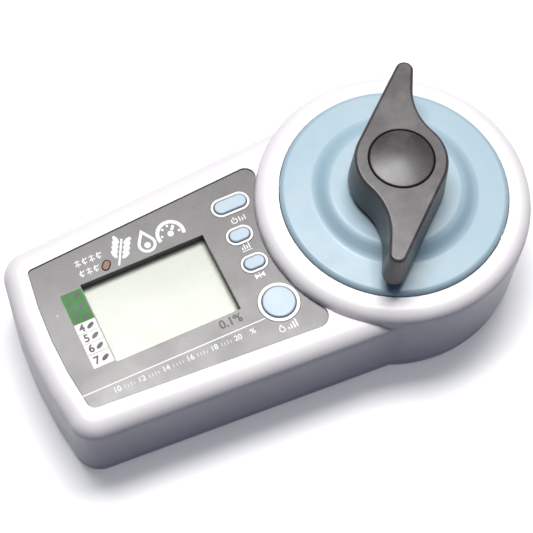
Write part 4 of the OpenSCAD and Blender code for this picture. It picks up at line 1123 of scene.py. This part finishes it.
# %% Wing handle
wing_low, wing_high = box_mm("wing_handle")
cap_low, cap_high = box_mm("handle_cap")
WING_TURN, WING_Z = 60.5, 50.0
ARM, HUB_R, TIP_R, SWEEP_R = 34.7, 15.5, 3.0, 21.0
NECK_R, RECESS_R, SOCKET_R, SOCKET_DEPTH = 13, 11.0, 4.7, 9.5
TOP_ROUND = 1.1
sweep_x = math.sqrt((HUB_R + SWEEP_R) ** 2 - (TIP_R + SWEEP_R) ** 2)
sweep_turn = math.degrees(math.asin((TIP_R + SWEEP_R) / (HUB_R + SWEEP_R)))
arm_lean = math.degrees(math.asin((HUB_R - TIP_R) / ARM))


def wing_plan(grow):
    """Outline of both wings, turned to their place, grown by the draft."""
    arcs = []
    for half in (0, 180):
        turn = WING_TURN + half
        c, s = math.cos(math.radians(turn)), math.sin(math.radians(turn))

        def put(x, y, radius, begin, end):
            arcs.append((HEAD_X + x * c - y * s, x * s + y * c, radius, begin + turn, end + turn))

        put(sweep_x, -TIP_R - SWEEP_R, SWEEP_R - grow, 180 - sweep_turn, 90)
        put(ARM, 0, TIP_R + grow, -90, 90 - arm_lean)
        put(0, 0, HUB_R + grow, 90 - arm_lean, 180 - sweep_turn)
    return arcs


DRAFT = 0.9
wings = bmesh.new()
foot_face = trace(wings, wing_plan(DRAFT), WING_Z)
top_face = trace(wings, wing_plan(0), wing_high.z)
bmesh.ops.bridge_loops(wings, edges=[*foot_face.edges, *top_face.edges])
round_edges(wings, list(top_face.edges), TOP_ROUND, 5)
bmesh.ops.recalc_face_normals(wings, faces=wings.faces)
handle = stand_in("handle", wings)
neck = shape_of(disc(HEAD_X, 0, NECK_R), wing_low.z, WING_Z + 2)
recess = shape_of(disc(HEAD_X, 0, RECESS_R), cap_low.z, wing_high.z + 2)
socket = shape_of(disc(HEAD_X, 0, SOCKET_R), wing_low.z - 1, wing_low.z + SOCKET_DEPTH)
combine(handle, "UNION", stand_in("neck", neck))
combine(handle, "DIFFERENCE", stand_in("recess", recess), stand_in("socket", socket))
piece("wing_grip", handle, "handle_grey", "handle", ["wing_handle"], soften=0.3, angle=45)

# %% Handle cap
DOME = 1.0
CAP_R = 10.7
CAP_WALL, CAP_DEPTH = 1.2, 2.5
cap_in_r = CAP_R - CAP_WALL
dome_r = (CAP_R ** 2 + DOME ** 2) / (2 * DOME)
dome_turn = math.degrees(math.asin(CAP_R / dome_r))
cap_profile = [
    (0, cap_low.z + CAP_DEPTH), (cap_in_r, cap_low.z + CAP_DEPTH), (cap_in_r, cap_low.z),
    (CAP_R, cap_low.z),
    (0, cap_high.z - dome_r, dome_r, 90 - dome_turn, 90),
]
cap_shape = turned(cap_profile, HEAD_X, [(CAP_R, cap_high.z - DOME, 0.5)])
piece("grip_cap", stand_in("cap", cap_shape), "handle_grey", "handle", ["handle_cap"])

# %% [markdown]
# ## Finishes for the pieces that stay as the CAD made them
# Screws, springs, batteries, boards and the measuring cell are already the right shape.
# They keep their CAD solids, and each takes the finish that its own slot in the record
# names, so a spring is steel here and in every other program.

# %% CAD pieces' finishes
CAD_SLOTS = {part["node"]: part["material_slot"] for part in frame["record"]["subparts"]}
for name, node in frame["nodes"].items():
    if node.hide_render:
        continue
    slot = CAD_SLOTS[name]
    node.data.materials.clear()
    node.data.materials.append(FINISHES[slot])
print("CAD pieces finished")

# %% Sizes, and the end
low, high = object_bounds()
